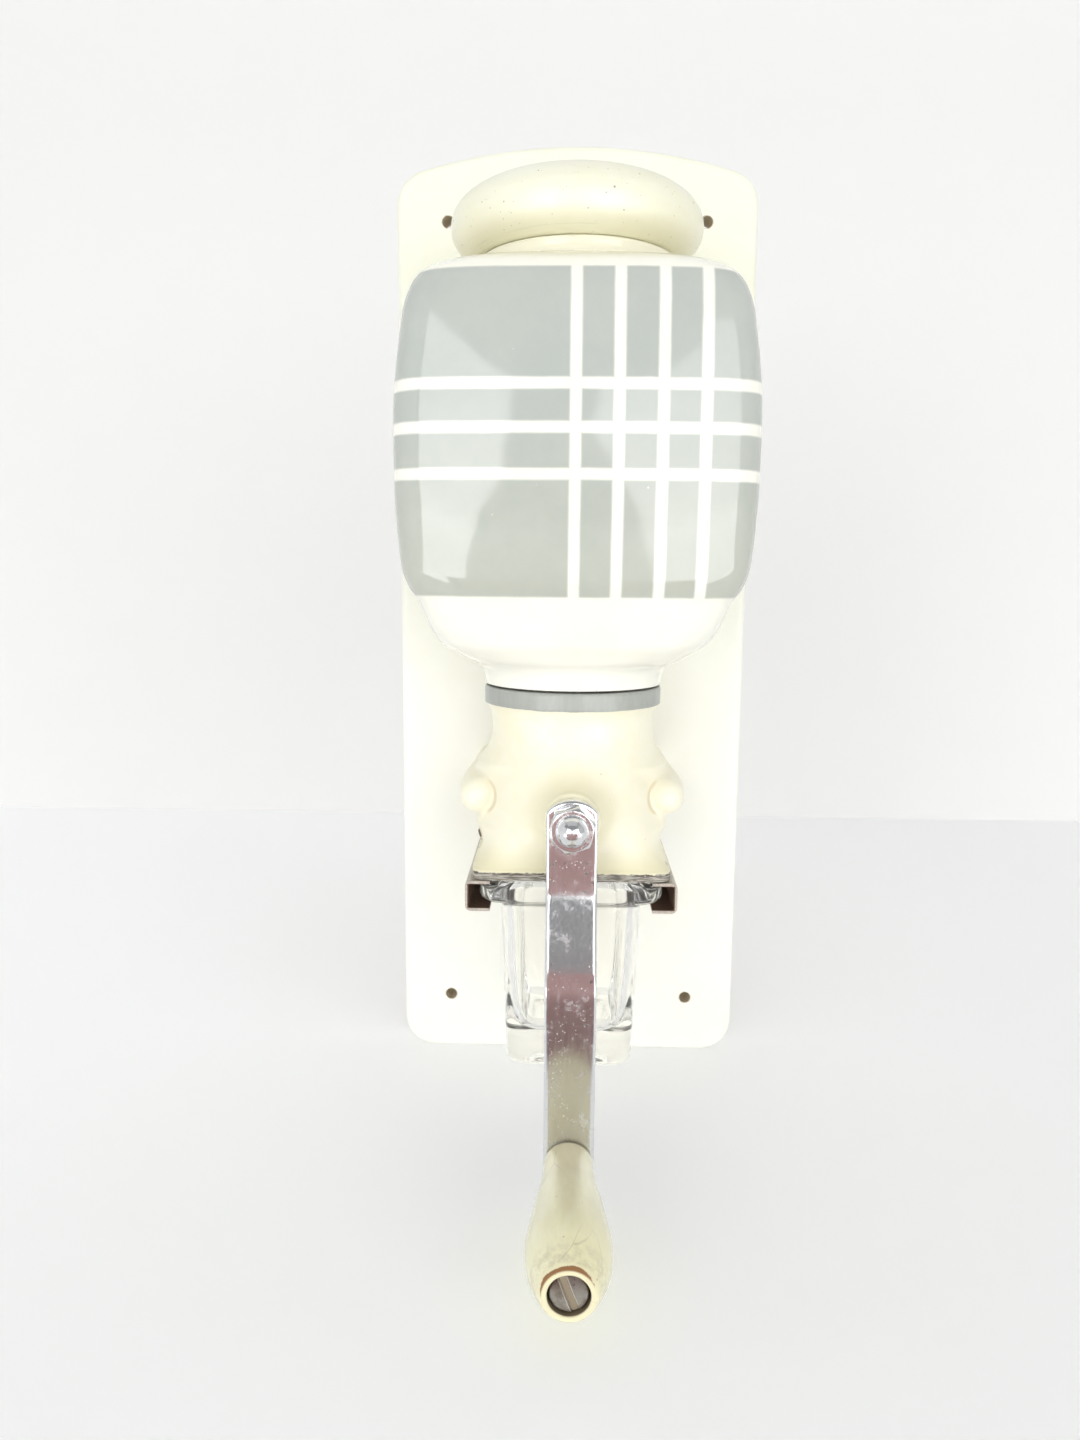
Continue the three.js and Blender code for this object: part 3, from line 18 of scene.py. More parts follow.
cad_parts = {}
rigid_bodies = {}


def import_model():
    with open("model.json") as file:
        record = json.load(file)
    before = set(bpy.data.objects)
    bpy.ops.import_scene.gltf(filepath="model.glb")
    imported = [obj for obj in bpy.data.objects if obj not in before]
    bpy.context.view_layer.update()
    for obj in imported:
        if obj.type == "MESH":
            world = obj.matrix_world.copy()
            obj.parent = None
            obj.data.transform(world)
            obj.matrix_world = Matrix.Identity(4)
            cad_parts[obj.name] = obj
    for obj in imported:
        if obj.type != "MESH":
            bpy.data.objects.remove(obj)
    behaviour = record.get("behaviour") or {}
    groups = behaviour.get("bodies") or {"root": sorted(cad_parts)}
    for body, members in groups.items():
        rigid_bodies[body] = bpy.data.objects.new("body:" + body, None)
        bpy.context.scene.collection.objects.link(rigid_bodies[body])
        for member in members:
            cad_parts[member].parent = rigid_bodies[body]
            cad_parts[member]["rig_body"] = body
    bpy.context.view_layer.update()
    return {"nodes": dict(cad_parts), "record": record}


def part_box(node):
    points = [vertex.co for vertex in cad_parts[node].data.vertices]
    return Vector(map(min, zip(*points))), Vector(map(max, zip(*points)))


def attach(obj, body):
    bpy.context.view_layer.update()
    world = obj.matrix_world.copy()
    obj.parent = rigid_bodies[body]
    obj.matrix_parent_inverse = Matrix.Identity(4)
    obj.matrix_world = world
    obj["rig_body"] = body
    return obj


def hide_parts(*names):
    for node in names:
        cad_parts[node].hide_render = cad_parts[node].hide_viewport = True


bl_info = {
    "name": "Wall coffee mill",
    "version": (1, 0, 0),
    "blender": (4, 5, 0),
    "location": "View3D > Sidebar > Coffee mill",
    "description": "Builds the dressed surfaces, finishes and studio of a hand-cranked wall coffee mill",
    "category": "Object",
}

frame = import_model()

MM = 0.001
BOARD_LOW, BOARD_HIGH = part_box("wall_board")
BOARD_THICKNESS = (BOARD_HIGH.y - BOARD_LOW.y) / MM
HOLE_CENTRE = -BOARD_LOW.z / MM
MILL_REACH = 55.0  # the upright axis of hopper and casting
AXIS_HEIGHT = 116.0  # the crank axis
GRIP_HEIGHT = 17.5  # the grip's axis at rest
SEAT = 0.2  # gap between faces that bear on each other
FULL_TURN = 2 * math.pi


def to_world(points):
    """Mill coordinates in millimetres turned into the frame's metres."""
    moved = np.array(points, float)
    moved[..., 1] = -BOARD_THICKNESS - moved[..., 1]
    moved[..., 2] = moved[..., 2] - HOLE_CENTRE
    return moved * MM


def span(node):
    """A frame node's box in mill coordinates, as low and high values of x, reach and height."""
    low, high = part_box(node)
    reach = (-high.y / MM - BOARD_THICKNESS, -low.y / MM - BOARD_THICKNESS)
    height = (low.z / MM + HOLE_CENTRE, high.z / MM + HOLE_CENTRE)
    return SimpleNamespace(x=(low.x / MM, high.x / MM), reach=reach, height=height)


def middle_of(node):
    """The middle of a frame node's box in x and height."""
    box = span(node)
    return (box.x[0] + box.x[1]) / 2, (box.height[0] + box.height[1]) / 2


def shade(red, green, blue):
    """A colour given as it looks on a screen, 0 to 255, as the scene's linear values."""
    parts = np.array([red, green, blue]) / 255
    linear = np.where(parts <= 0.04045, parts / 12.92, ((parts + 0.055) / 1.055) ** 2.4)
    return tuple(float(value) for value in linear)


def length(label, about, millimetres):
    """A length property in metres, with its default given in millimetres."""
    return FloatProperty(name=label, description=about, default=millimetres * MM, min=0, precision=5,
                         unit="LENGTH", subtype="DISTANCE")


def colour(label, about, *value):
    """A colour property with its default as it looks on a screen."""
    return FloatVectorProperty(name=label, description=about, default=shade(*value), size=3, min=0, max=1,
                               subtype="COLOR")


def share(label, about, value):
    """A factor property between nothing and one."""
    return FloatProperty(name=label, description=about, default=value, min=0, max=1, subtype="FACTOR")


def strength(label, about, value):
    """A brightness or power property, with no upper limit."""
    return FloatProperty(name=label, description=about, default=value, min=0)


class BoardSizes(bpy.types.PropertyGroup):
    """Sizes of the wall board."""

    arch_radius: length("Arch radius", "Radius of the board's arched top", 197)
    corner_radius: length("Corner radius", "Radius of the board's four corners", 12)
    edge_radius: length("Edge radius", "How far the board's edges are rounded over", 2.2)
    hole_radius: length("Hole radius", "Radius of the four wall holes", 2.2)
    hole_spacing_x: length("Hole spacing across", "Distance between the left and right wall holes", 93)
    hole_spacing_z: length("Hole spacing up", "Distance between the lower and upper wall holes", 292)


class HopperSizes(bpy.types.PropertyGroup):
    """Sizes of the pattern on the ceramic hopper."""

    band_low: length("Band bottom", "Height at which the grey band starts", 182.4)
    band_high: length("Band top", "Height at which the grey band ends", 272)
    stripe: length("Stripe width", "Width of the white stripes", 3.2)
    soft_edge: length("Soft edge", "How soft the sprayed edges of the pattern are", 0.9)


class CastingSizes(bpy.types.PropertyGroup):
    """Sizes of the cast mill body."""

    ear_blend: length("Ear blend", "How softly the ears run into the body, above and below", 15)
    boss_blend: length("Boss blend", "How softly the front boss runs into the body", 5)
    grid: length("Grid", "Distance between the points from which the casting's skin is worked out", 0.66)
    collar_band: length("Collar band", "Height of the grey painted collar", 5.7)
    worn_edge: length("Worn edge", "Height of the bare strip along the flange", 2.7)


class CrankSizes(bpy.types.PropertyGroup):
    """Sizes of the crank arm, its cap nut and the grip."""

    arm_end_radius: length("Arm end radius", "Radius of the arm's top end", 9.4)
    edge_width: length("Edge width", "How far the rounding of the arm's edges reaches in", 1.35)
    edge_depth: length("Edge depth", "How far the arm's edges fall back", 0.8)
    bend_radius: length("Bend radius", "Radius of the arm's two bends", 18)
    nut_across_flats: length("Nut across flats", "Width of the cap nut over its flats", 12.5)
    nut_dome_radius: length("Nut dome radius", "Radius of the cap nut's dome", 4.6)


class CupSizes(bpy.types.PropertyGroup):
    """Sizes of the pressed-glass catch cup."""

    wall: length("Wall", "Thickness of the cup's sides", 2.3)
    floor: length("Floor", "Thickness of the cup's foot", 9.5)
    rim_lip: length("Rim lip", "How far the rim stands out from the cup's side", 6.5)
    taper: length("Taper", "How much narrower each side is at the foot", 2)


class Finishes(bpy.types.PropertyGroup):
    """Colours of the finishes, as they look on a screen."""

    board_paint: colour("Board paint", "White-cream paint of the board", 253, 253, 246)
    bare_wood: colour("Bare wood", "Unpainted wood on the board's back and in its holes", 176, 140, 102)
    lid_paint: colour("Lid paint", "Old cream paint of the lid", 240, 239, 221)
    grip_paint: colour("Grip paint", "Yellowed cream paint of the grip", 241, 238, 204)
    glaze: colour("Glaze", "Cream-white glaze", 247, 246, 236)
    glaze_grey: colour("Grey glaze", "Grey of the plaid band", 188, 192, 186)
    body_paint: colour("Body paint", "Cream enamel of the casting", 247, 243, 222)
    collar_grey: colour("Collar grey", "Grey enamel of the casting's collar", 168, 171, 165)
    iron: colour("Iron", "Bare cast iron", 98, 95, 90)
    rust: colour("Rust", "Brown rust", 108, 82, 64)
    chrome: colour("Chrome", "Chrome plate", 228, 229, 231)
    steel: colour("Steel", "Plain steel", 170, 166, 158)
    brass: colour("Brass", "Turned brass", 196, 164, 102)
    rubber: colour("Rubber", "Dark aged rubber", 74, 74, 72)


class Studio(bpy.types.PropertyGroup):
    """Light and surroundings."""

    floor: colour("Floor", "Colour of the floor", 240, 241, 241)
    backdrop: colour("Backdrop", "Colour of the backdrop", 231, 231, 230)
    left_window: strength("Left window", "Brightness of the panel front left", 2.75)
    right_window: strength("Right window", "Brightness of the panel front right", 2.35)
    top_light: strength("Top light", "Power of the panel overhead", 1.9)
    room_light: share("Room light", "Level of the light that comes from all round", 0.95)


def sizes_of(name):
    """The lengths of one of the scene's settings in millimetres, by name."""
    group = getattr(bpy.context.scene, name)
    return SimpleNamespace(**{key: getattr(group, key) / MM for key in group.__annotations__})


# Curves


def smooth_rows(table, count):
    """A table of rows turned into count rows on one smooth curve.

    The curve's parameter is the distance along the table's own corners. Each column is a cubic between
    neighbouring rows, with slopes limited so that it never runs past a row (monotone Hermite).
    """
    table = np.asarray(table, float)
    scaled = table / np.maximum(np.ptp(table, axis=0), 1e-9)
    steps = np.linalg.norm(np.diff(scaled, axis=0), axis=1)
    knots = np.concatenate([[0], np.cumsum(steps)])
    slope = np.diff(table, axis=0) / steps[:, None]
    before, after = slope[:-1], slope[1:]
    same = before * after > 0
    mean = np.where(same, 2 * before * after / np.where(same, before + after, 1), 0)
    tangent = np.vstack([slope[:1], mean, slope[-1:]])
    at = np.linspace(0, knots[-1], count)
    cell = np.clip(np.searchsorted(knots, at, side="right") - 1, 0, len(steps) - 1)
    width = steps[cell][:, None]
    t = (at - knots[cell])[:, None] / width
    low, high = table[cell], table[cell + 1]
    into, out = tangent[cell] * width, tangent[cell + 1] * width
    return (
        low * (2 * t**3 - 3 * t**2 + 1)
        + into * (t**3 - 2 * t**2 + t)
        + high * (3 * t**2 - 2 * t**3)
        + out * (t**3 - t**2)
    )


def rounded(corners, steps=6, closed=False):
    """A flat outline through corners (u, v, radius), with each corner turned on an arc of its radius.

    The arc starts and ends the radius times tan(turn / 2) from the corner. A point just outside either
    end of the arc keeps the flat beside it flat.
    """
    pieces = []
    count = len(corners)
    points = np.array([corner[:2] for corner in corners], float)
    for i, corner in enumerate(corners):
        at, radius = points[i], corner[2]
        if radius <= 0 or (not closed and i in (0, count - 1)):
            pieces.append(at[None])
            continue
        towards = points[i - 1] - at
        onwards = points[(i + 1) % count] - at
        reach_in, reach_out = np.linalg.norm(towards), np.linalg.norm(onwards)
        towards, onwards = towards / reach_in, onwards / reach_out
        inner = math.acos(np.clip(towards @ onwards, -1, 1))
        back = radius / math.tan(inner / 2)
        middle = at + (towards + onwards) / np.linalg.norm(towards + onwards) * radius / math.sin(inner / 2)
        start = at + towards * back
        end = at + onwards * back
        sweep = np.linspace(0, 1, steps)[:, None]
        weight = math.pi - inner
        arc = np.sin((1 - sweep) * weight) * (start - middle) + np.sin(sweep * weight) * (end - middle)
        arc = arc / math.sin(weight)
        hold = min(0.25 * radius, 0.2 * (reach_in - back), 0.2 * (reach_out - back))
        if hold > 1e-6:
            pieces.append((start + towards * hold)[None])
        pieces.append(middle + arc)
        if hold > 1e-6:
            pieces.append((end + onwards * hold)[None])
    return np.concatenate(pieces)


def resampled(outline, step, closed=False):
    """An outline with points added so that none are further apart than step."""
    ring = np.vstack([outline, outline[:1]]) if closed else outline
    parts = []
    for start, end in zip(ring[:-1], ring[1:]):
        pieces = max(1, math.ceil(np.linalg.norm(end - start) / step))
        parts.append(start + (end - start) * np.arange(pieces)[:, None] / pieces)
    if not closed:
        parts.append(ring[-1:])
    return np.concatenate(parts)


# Meshes


def outwards(points, faces):
    """The faces, turned over where the volume that they close comes out negative."""
    volume = 0.0
    for face in faces:
        for i in range(1, face.shape[1] - 1):
            a, b, c = points[face[:, 0]], points[face[:, i]], points[face[:, i + 1]]
            volume += np.einsum("ij,ij->", a, np.cross(b, c))
    return faces if volume > 0 else [face[:, ::-1] for face in faces]


def piece_from(name, parts, smooth_angle=32, marks=None):
    """One object from parts, each its points in mill coordinates and its lists of faces.

    Marks are values on the points, by attribute name.
    """
    points, rows = [], []
    offset = 0
    for part_points, faces in parts:
        placed = to_world(part_points)
        rows += [row for face in outwards(placed, faces) for row in (face + offset).tolist()]
        points.append(placed)
        offset += len(placed)
    points = np.concatenate(points)
    mesh = bpy.data.meshes.new(name)
    mesh.from_pydata(points, [], rows)
    for key, values in (marks or {}).items():
        mesh.attributes.new(key, "FLOAT", "POINT").data.foreach_set("value", np.asarray(values, np.float32))
    mesh.validate()
    mesh.shade_smooth()
    mesh.set_sharp_from_angle(angle=math.radians(smooth_angle))
    made = bpy.data.objects.new(name, mesh)
    bpy.context.scene.collection.objects.link(made)
    return made


def skin(rows, first=None, last=None, loop=False):
    """A closed skin through rows of points, as points and faces.

    Point (i, j) of the grid joins its neighbours along the row, which is a ring, and in the next row.
    The end rows are closed by fans to the points first and last, or the last row is joined to the first.
    """
    rows = np.asarray(rows, float)
    count, sides = rows.shape[:2]
    index = np.arange(count * sides).reshape(count, sides)
    upper = np.roll(index, -1, axis=0) if loop else index[1:]
    lower = index if loop else index[:-1]
    corners = [lower, np.roll(lower, -1, axis=1), np.roll(upper, -1, axis=1), upper]
    quads = np.stack(corners, axis=-1).reshape(-1, 4)
    points = rows.reshape(-1, 3)
    if loop:
        return points, [quads]
    first = rows[0].mean(axis=0) if first is None else np.asarray(first, float)
    last = rows[-1].mean(axis=0) if last is None else np.asarray(last, float)
    points = np.vstack([points, first, last])
    start = np.full(sides, count * sides)
    low_fan = np.stack([start, np.roll(index[0], -1), index[0]], axis=-1)
    high_fan = np.stack([start + 1, index[-1], np.roll(index[-1], -1)], axis=-1)
    return points, [quads, np.vstack([low_fan, high_fan])]


def turned(profile, origin, axis=(0, 1, 0), sides=96):
    """A profile of (radius, distance) turned about an axis through origin.

    Point (i, j) stands at origin + axis * distance_i + radius_i * (u cos j + v sin j), where u and v are
    square to the axis. A profile that starts and ends on the axis is closed by its poles, and any other
    is a ring.
    """
    profile = np.asarray(profile, float)
    origin = np.asarray(origin, float)
    along = np.asarray(axis, float) / np.linalg.norm(axis)
    side = np.cross(along, (0, 0, 1) if abs(along[2]) < 0.9 else (1, 0, 0))
    side /= np.linalg.norm(side)
    other = np.cross(along, side)
    angle = np.linspace(0, FULL_TURN, sides, endpoint=False)
    wheel = np.cos(angle)[:, None] * side + np.sin(angle)[:, None] * other
    centres = origin + profile[:, 1, None] * along
    rows = centres[:, None] + profile[:, 0, None, None] * wheel
    if profile[0, 0] > 1e-6:
        return skin(rows, loop=True)
    return skin(rows[1:-1], first=centres[0], last=centres[-1])


def level_rings(height, half_width, half_depth, power, reach=MILL_REACH, sides=224, bulge=0.0):
    """Level superellipses about an upright axis, one for each value of the given columns.

    A point at angle a stands at radius (|cos a / half width|^p + |sin a / half depth|^p)^(-1/p), with
    the angles closer together at the four corners. The front and back faces then bulge: the depth is
    taken times 1 - bulge * (x / half width)^2.
    """
    columns = np.broadcast_arrays(height, half_width, half_depth, power, bulge)
    columns = [np.array(column, float).reshape(-1, 1) for column in columns]
    height, half_width, half_depth, power, bulge = columns
    even = np.linspace(0, FULL_TURN, sides, endpoint=False)
    angle = even + 0.13 * np.sin(4 * even)
    across = np.abs(np.cos(angle) / half_width) ** power
    along = np.abs(np.sin(angle) / half_depth) ** power
    radius = (across + along) ** (-1 / power)
    x, y = radius * np.cos(angle), radius * np.sin(angle)
    y = y * (1 - bulge * (x / half_width) ** 2)
    return np.stack([x, reach + y, np.broadcast_to(height, x.shape)], axis=-1)


def carved(field, low, high, step):
    """The skin of the space where field(x, reach, height) is negative, as points and faces.

    Surface nets: each cell of a grid that the skin crosses gets one point, at the mean of the crossings
    of its edges, and each crossed grid edge gets one face from the four cells around it. The points are
    then moved onto the skin along the field's slope.
    """
    axes = [np.arange(a, b + step, step) for a, b in zip(low, high)]
    values = field(*np.meshgrid(*axes, indexing="ij", sparse=True))
    shape = np.array(values.shape) - 1
    total = int(np.prod(shape))
    sums = np.zeros((3, total))
    hits = np.zeros(total)
    faces = []
    for d in range(3):
        first = np.take(values, range(shape[d]), axis=d)
        second = np.take(values, range(1, shape[d] + 1), axis=d)
        at = np.argwhere((first < 0) != (second < 0))
        a, b = (d + 1) % 3, (d + 2) % 3
        inner = (at[:, a] > 0) & (at[:, b] > 0) & (at[:, a] < shape[a]) & (at[:, b] < shape[b])
        at = at[inner]
        start, end = first[tuple(at.T)], second[tuple(at.T)]
        where = at.astype(float)
        where[:, d] += start / (start - end)
        cells = []
        for da, db in ((0, 0), (-1, 0), (-1, -1), (0, -1)):
            cell = at.copy()
            cell[:, a] += da
            cell[:, b] += db
            flat = np.ravel_multi_index(tuple(cell.T), shape)
            cells.append(flat)
            hits += np.bincount(flat, minlength=total)
            for k in range(3):
                sums[k] += np.bincount(flat, weights=where[:, k], minlength=total)
        quad = np.stack(cells, axis=-1)
        faces.append(np.where((start < 0)[:, None], quad, quad[:, ::-1]))
    used = np.flatnonzero(hits)
    number = np.zeros(total, int)
    number[used] = np.arange(len(used))
    points = (sums[:, used] / hits[used]).T * step + np.array(low)
    for _ in range(2):
        here = field(*points.T)
        beyond = [field(*(points + step * 0.1 * unit).T) for unit in np.eye(3)]
        slope = np.stack([(there - here) / (step * 0.1) for there in beyond], axis=-1)
        size = np.maximum((slope**2).sum(axis=1), 0.25)
        shift = -here[:, None] * slope / size[:, None]
        limit = 0.5 * step / np.maximum(np.linalg.norm(shift, axis=1), 0.5 * step)
        points = points + shift * limit[:, None]
    return points, [number[np.concatenate(faces)]]


# Fields, in millimetres, negative inside


def join_soft(a, b, blend):
    """The union of two fields, with a fillet about as wide as blend."""
    gap = np.maximum(blend - np.abs(a - b), 0)
    return np.minimum(a, b) - gap**2 / (4 * blend)


def cut_soft(a, b, blend=0.5):
    """Field a without field b, with the edge eased by blend."""
    return -join_soft(-a, b, blend)


def rod_field(along, off, radius, start, end):
    """A rod: its distance along the axis, its distance from the axis, its radius and its two ends."""
    return np.maximum(off - radius, np.maximum(start - along, along - end))


def box_field(place, low, high):
    """A box: x, reach and height, and its low and high corners."""
    sides = [np.maximum(a - value, value - b) for value, a, b in zip(place, low, high)]
    return np.maximum(np.maximum(sides[0], sides[1]), sides[2])


# Node helpers


def node(tree, kind, settings=None):
    """A new node of a kind, with its settings."""
    made = tree.nodes.new(kind)
    for key, value in (settings or {}).items():
        setattr(made, key, value)
    return made


def fill(made, inputs):
    """Gives a node its inputs, plain values or sockets to link, and returns it."""
    for key, value in inputs.items():
        if isinstance(value, bpy.types.NodeSocket):
            made.id_data.links.new(value, made.inputs[key])
        else:
            made.inputs[key].default_value = value
    return made


def math_of(tree, operation, *values):
    """The result of a maths node."""
    made = node(tree, "ShaderNodeMath", {"operation": operation})
    return fill(made, dict(enumerate(values))).outputs[0]


def ramp(tree, value, low, high, start=0.0, end=1.0, smooth=True):
    """A value brought from the range low to high onto start to end, eased at both ends."""
    made = node(tree, "ShaderNodeMapRange", {"interpolation_type": "SMOOTHSTEP" if smooth else "LINEAR"})
    fill(made, {"Value": value, "From Min": low, "From Max": high, "To Min": start, "To Max": end})
    return made.outputs[0]


def blend_colour(tree, factor, first, second):
    """Two colours mixed, each a socket or three parts."""
    made = node(tree, "ShaderNodeMix", {"data_type": "RGBA"})
    values = [value if isinstance(value, bpy.types.NodeSocket) else (*value, 1) for value in (first, second)]
    return fill(made, {0: factor, 6: values[0], 7: values[1]}).outputs[2]


def blend_value(tree, factor, first, second):
    """Two plain values mixed."""
    made = node(tree, "ShaderNodeMix", {"data_type": "FLOAT"})
    return fill(made, {0: factor, 2: first, 3: second}).outputs[0]


def multiplied(tree, factor, value, tint):
    """A colour times a tint, as far as the factor says."""
    made = node(tree, "ShaderNodeMix", {"data_type": "RGBA", "blend_type": "MULTIPLY"})
    return fill(made, {0: factor, 6: value, 7: (*tint, 1)}).outputs[2]


def noise(tree, vector, scale, detail=3.0, roughness=0.55):
    """Soft random clouds from 0 to 1."""
    made = node(tree, "ShaderNodeTexNoise")
    return fill(made, {"Vector": vector, "Scale": scale, "Detail": detail, "Roughness": roughness}).outputs[0]


def stretched(tree, vector, scale):
    """A vector with each axis scaled, for patterns that run one way."""
    made = node(tree, "ShaderNodeVectorMath", {"operation": "MULTIPLY"})
    return fill(made, {0: vector, 1: scale}).outputs[0]


def point_values(tree, name):
    """The values that a mesh's points carry under a name."""
    return node(tree, "ShaderNodeAttribute", {"attribute_name": name}).outputs["Fac"]


GROUPS = {}


def group(name, inputs, outputs, build):
    """A shader node group, built once. Inputs are (name, kind, default) and outputs (name, kind)."""
    if name not in GROUPS:
        tree = bpy.data.node_groups.new(name, "ShaderNodeTree")
        for label, kind, default in inputs:
            socket = tree.interface.new_socket(name=label, in_out="INPUT", socket_type=kind)
            if default is not None:
                socket.default_value = default
        for label, kind in outputs:
            tree.interface.new_socket(name=label, in_out="OUTPUT", socket_type=kind)
        source = node(tree, "NodeGroupInput").outputs
        results = build(tree, source)
        fill(node(tree, "NodeGroupOutput"), results)
        GROUPS[name] = tree
    return GROUPS[name]


VECTOR, FLOAT, COLOUR = "NodeSocketVector", "NodeSocketFloat", "NodeSocketColor"


def clouded_tone():
    """Two colours mixed in soft clouds, as old paint and glaze are never one tone."""

    def build(tree, source):
        """Seven parts of large clouds and three of fine ones choose between the two colours."""
        large = noise(tree, source["Vector"], source["Scale"], 4.0)
        fine = noise(tree, source["Vector"], math_of(tree, "MULTIPLY", source["Scale"], 6.5), 3.0)
        large, fine = math_of(tree, "MULTIPLY", large, 0.7), math_of(tree, "MULTIPLY", fine, 0.3)
        both = math_of(tree, "ADD", large, fine)
        factor = math_of(tree, "MULTIPLY", ramp(tree, both, 0.36, 0.66), source["Amount"])
        return {"Colour": blend_colour(tree, factor, source["Colour"], source["Tint"]), "Cloud": both}

    inputs = [
        ("Vector", VECTOR, None), ("Scale", FLOAT, 0.1), ("Amount", FLOAT, 0.5),
        ("Colour", COLOUR, (1, 1, 1, 1)), ("Tint", COLOUR, (0.8, 0.8, 0.7, 1)),
    ]
    return group("Clouded tone", inputs, [("Colour", COLOUR), ("Cloud", FLOAT)], build)


def specks():
    """Scattered dots: cells of a random pattern, of which a share holds a dot of its own size."""

    def build(tree, source):
        """A dot about a cell's middle, its radius the size times the square of a random number."""
        cells = node(tree, "ShaderNodeTexVoronoi")
        fill(cells, {"Vector": source["Vector"], "Scale": source["Scale"]})
        chance = node(tree, "ShaderNodeSeparateColor")
        fill(chance, {0: cells.outputs["Color"]})
        size = math_of(tree, "MULTIPLY", chance.outputs[1], chance.outputs[1])
        size = math_of(tree, "MULTIPLY", size, source["Size"])
        dot = ramp(tree, math_of(tree, "SUBTRACT", size, cells.outputs["Distance"]), 0.0, 0.06)
        chosen = math_of(tree, "LESS_THAN", chance.outputs[0], source["Share"])
        return {"Mask": math_of(tree, "MULTIPLY", dot, chosen)}

    inputs = [("Vector", VECTOR, None), ("Scale", FLOAT, 0.5), ("Size", FLOAT, 0.3), ("Share", FLOAT, 0.2)]
    return group("Specks", inputs, [("Mask", FLOAT)], build)


def hairlines():
    """Thin broken lines along the borders of random cells, as in crazed or cracked paint."""

    def build(tree, source):
        """The borders of cells whose coordinates noise has moved, kept where a second noise is high."""
        bent = node(tree, "ShaderNodeVectorMath", {"operation": "ADD"})
        wobble = node(tree, "ShaderNodeTexNoise")
        fill(wobble, {"Vector": source["Vector"], "Scale": math_of(tree, "MULTIPLY", source["Scale"], 3.0)})
        fill(bent, {0: source["Vector"], 1: stretched(tree, wobble.outputs["Color"], (0.6, 0.6, 0.6))})
        cells = node(tree, "ShaderNodeTexVoronoi", {"feature": "DISTANCE_TO_EDGE"})
        fill(cells, {"Vector": bent.outputs[0], "Scale": source["Scale"]})
        line = ramp(tree, cells.outputs["Distance"], source["Width"], 0.0)
        broken = ramp(tree, noise(tree, source["Vector"], source["Scale"], 2.0), 0.5, 0.62)
        return {"Mask": math_of(tree, "MULTIPLY", line, broken)}

    inputs = [("Vector", VECTOR, None), ("Scale", FLOAT, 0.1), ("Width", FLOAT, 0.02)]
    return group("Hairlines", inputs, [("Mask", FLOAT)], build)


def ragged_edge():
    """A mask that is full below a limit and breaks off along a ragged edge."""

    def build(tree, source):
        """The limit less the distance, which noise has moved to and fro."""
        rough = math_of(tree, "SUBTRACT", noise(tree, source["Vector"], source["Scale"], 4.0, 0.65), 0.5)
        moved = math_of(tree, "ADD", source["Distance"], math_of(tree, "MULTIPLY", rough, source["Ragged"]))
        inside = math_of(tree, "SUBTRACT", source["Limit"], moved)
        return {"Mask": ramp(tree, inside, 0.0, source["Soft"])}

    inputs = [
        ("Vector", VECTOR, None), ("Distance", FLOAT, 0.0), ("Limit", FLOAT, 1.0),
        ("Ragged", FLOAT, 1.0), ("Scale", FLOAT, 0.5), ("Soft", FLOAT, 0.1),
    ]
    return group("Ragged edge", inputs, [("Mask", FLOAT)], build)


def placed(tree, builder, inputs):
    """A shared effect placed in a material with its own values."""
    made = node(tree, "ShaderNodeGroup", {"node_tree": builder()})
    return fill(made, inputs).outputs


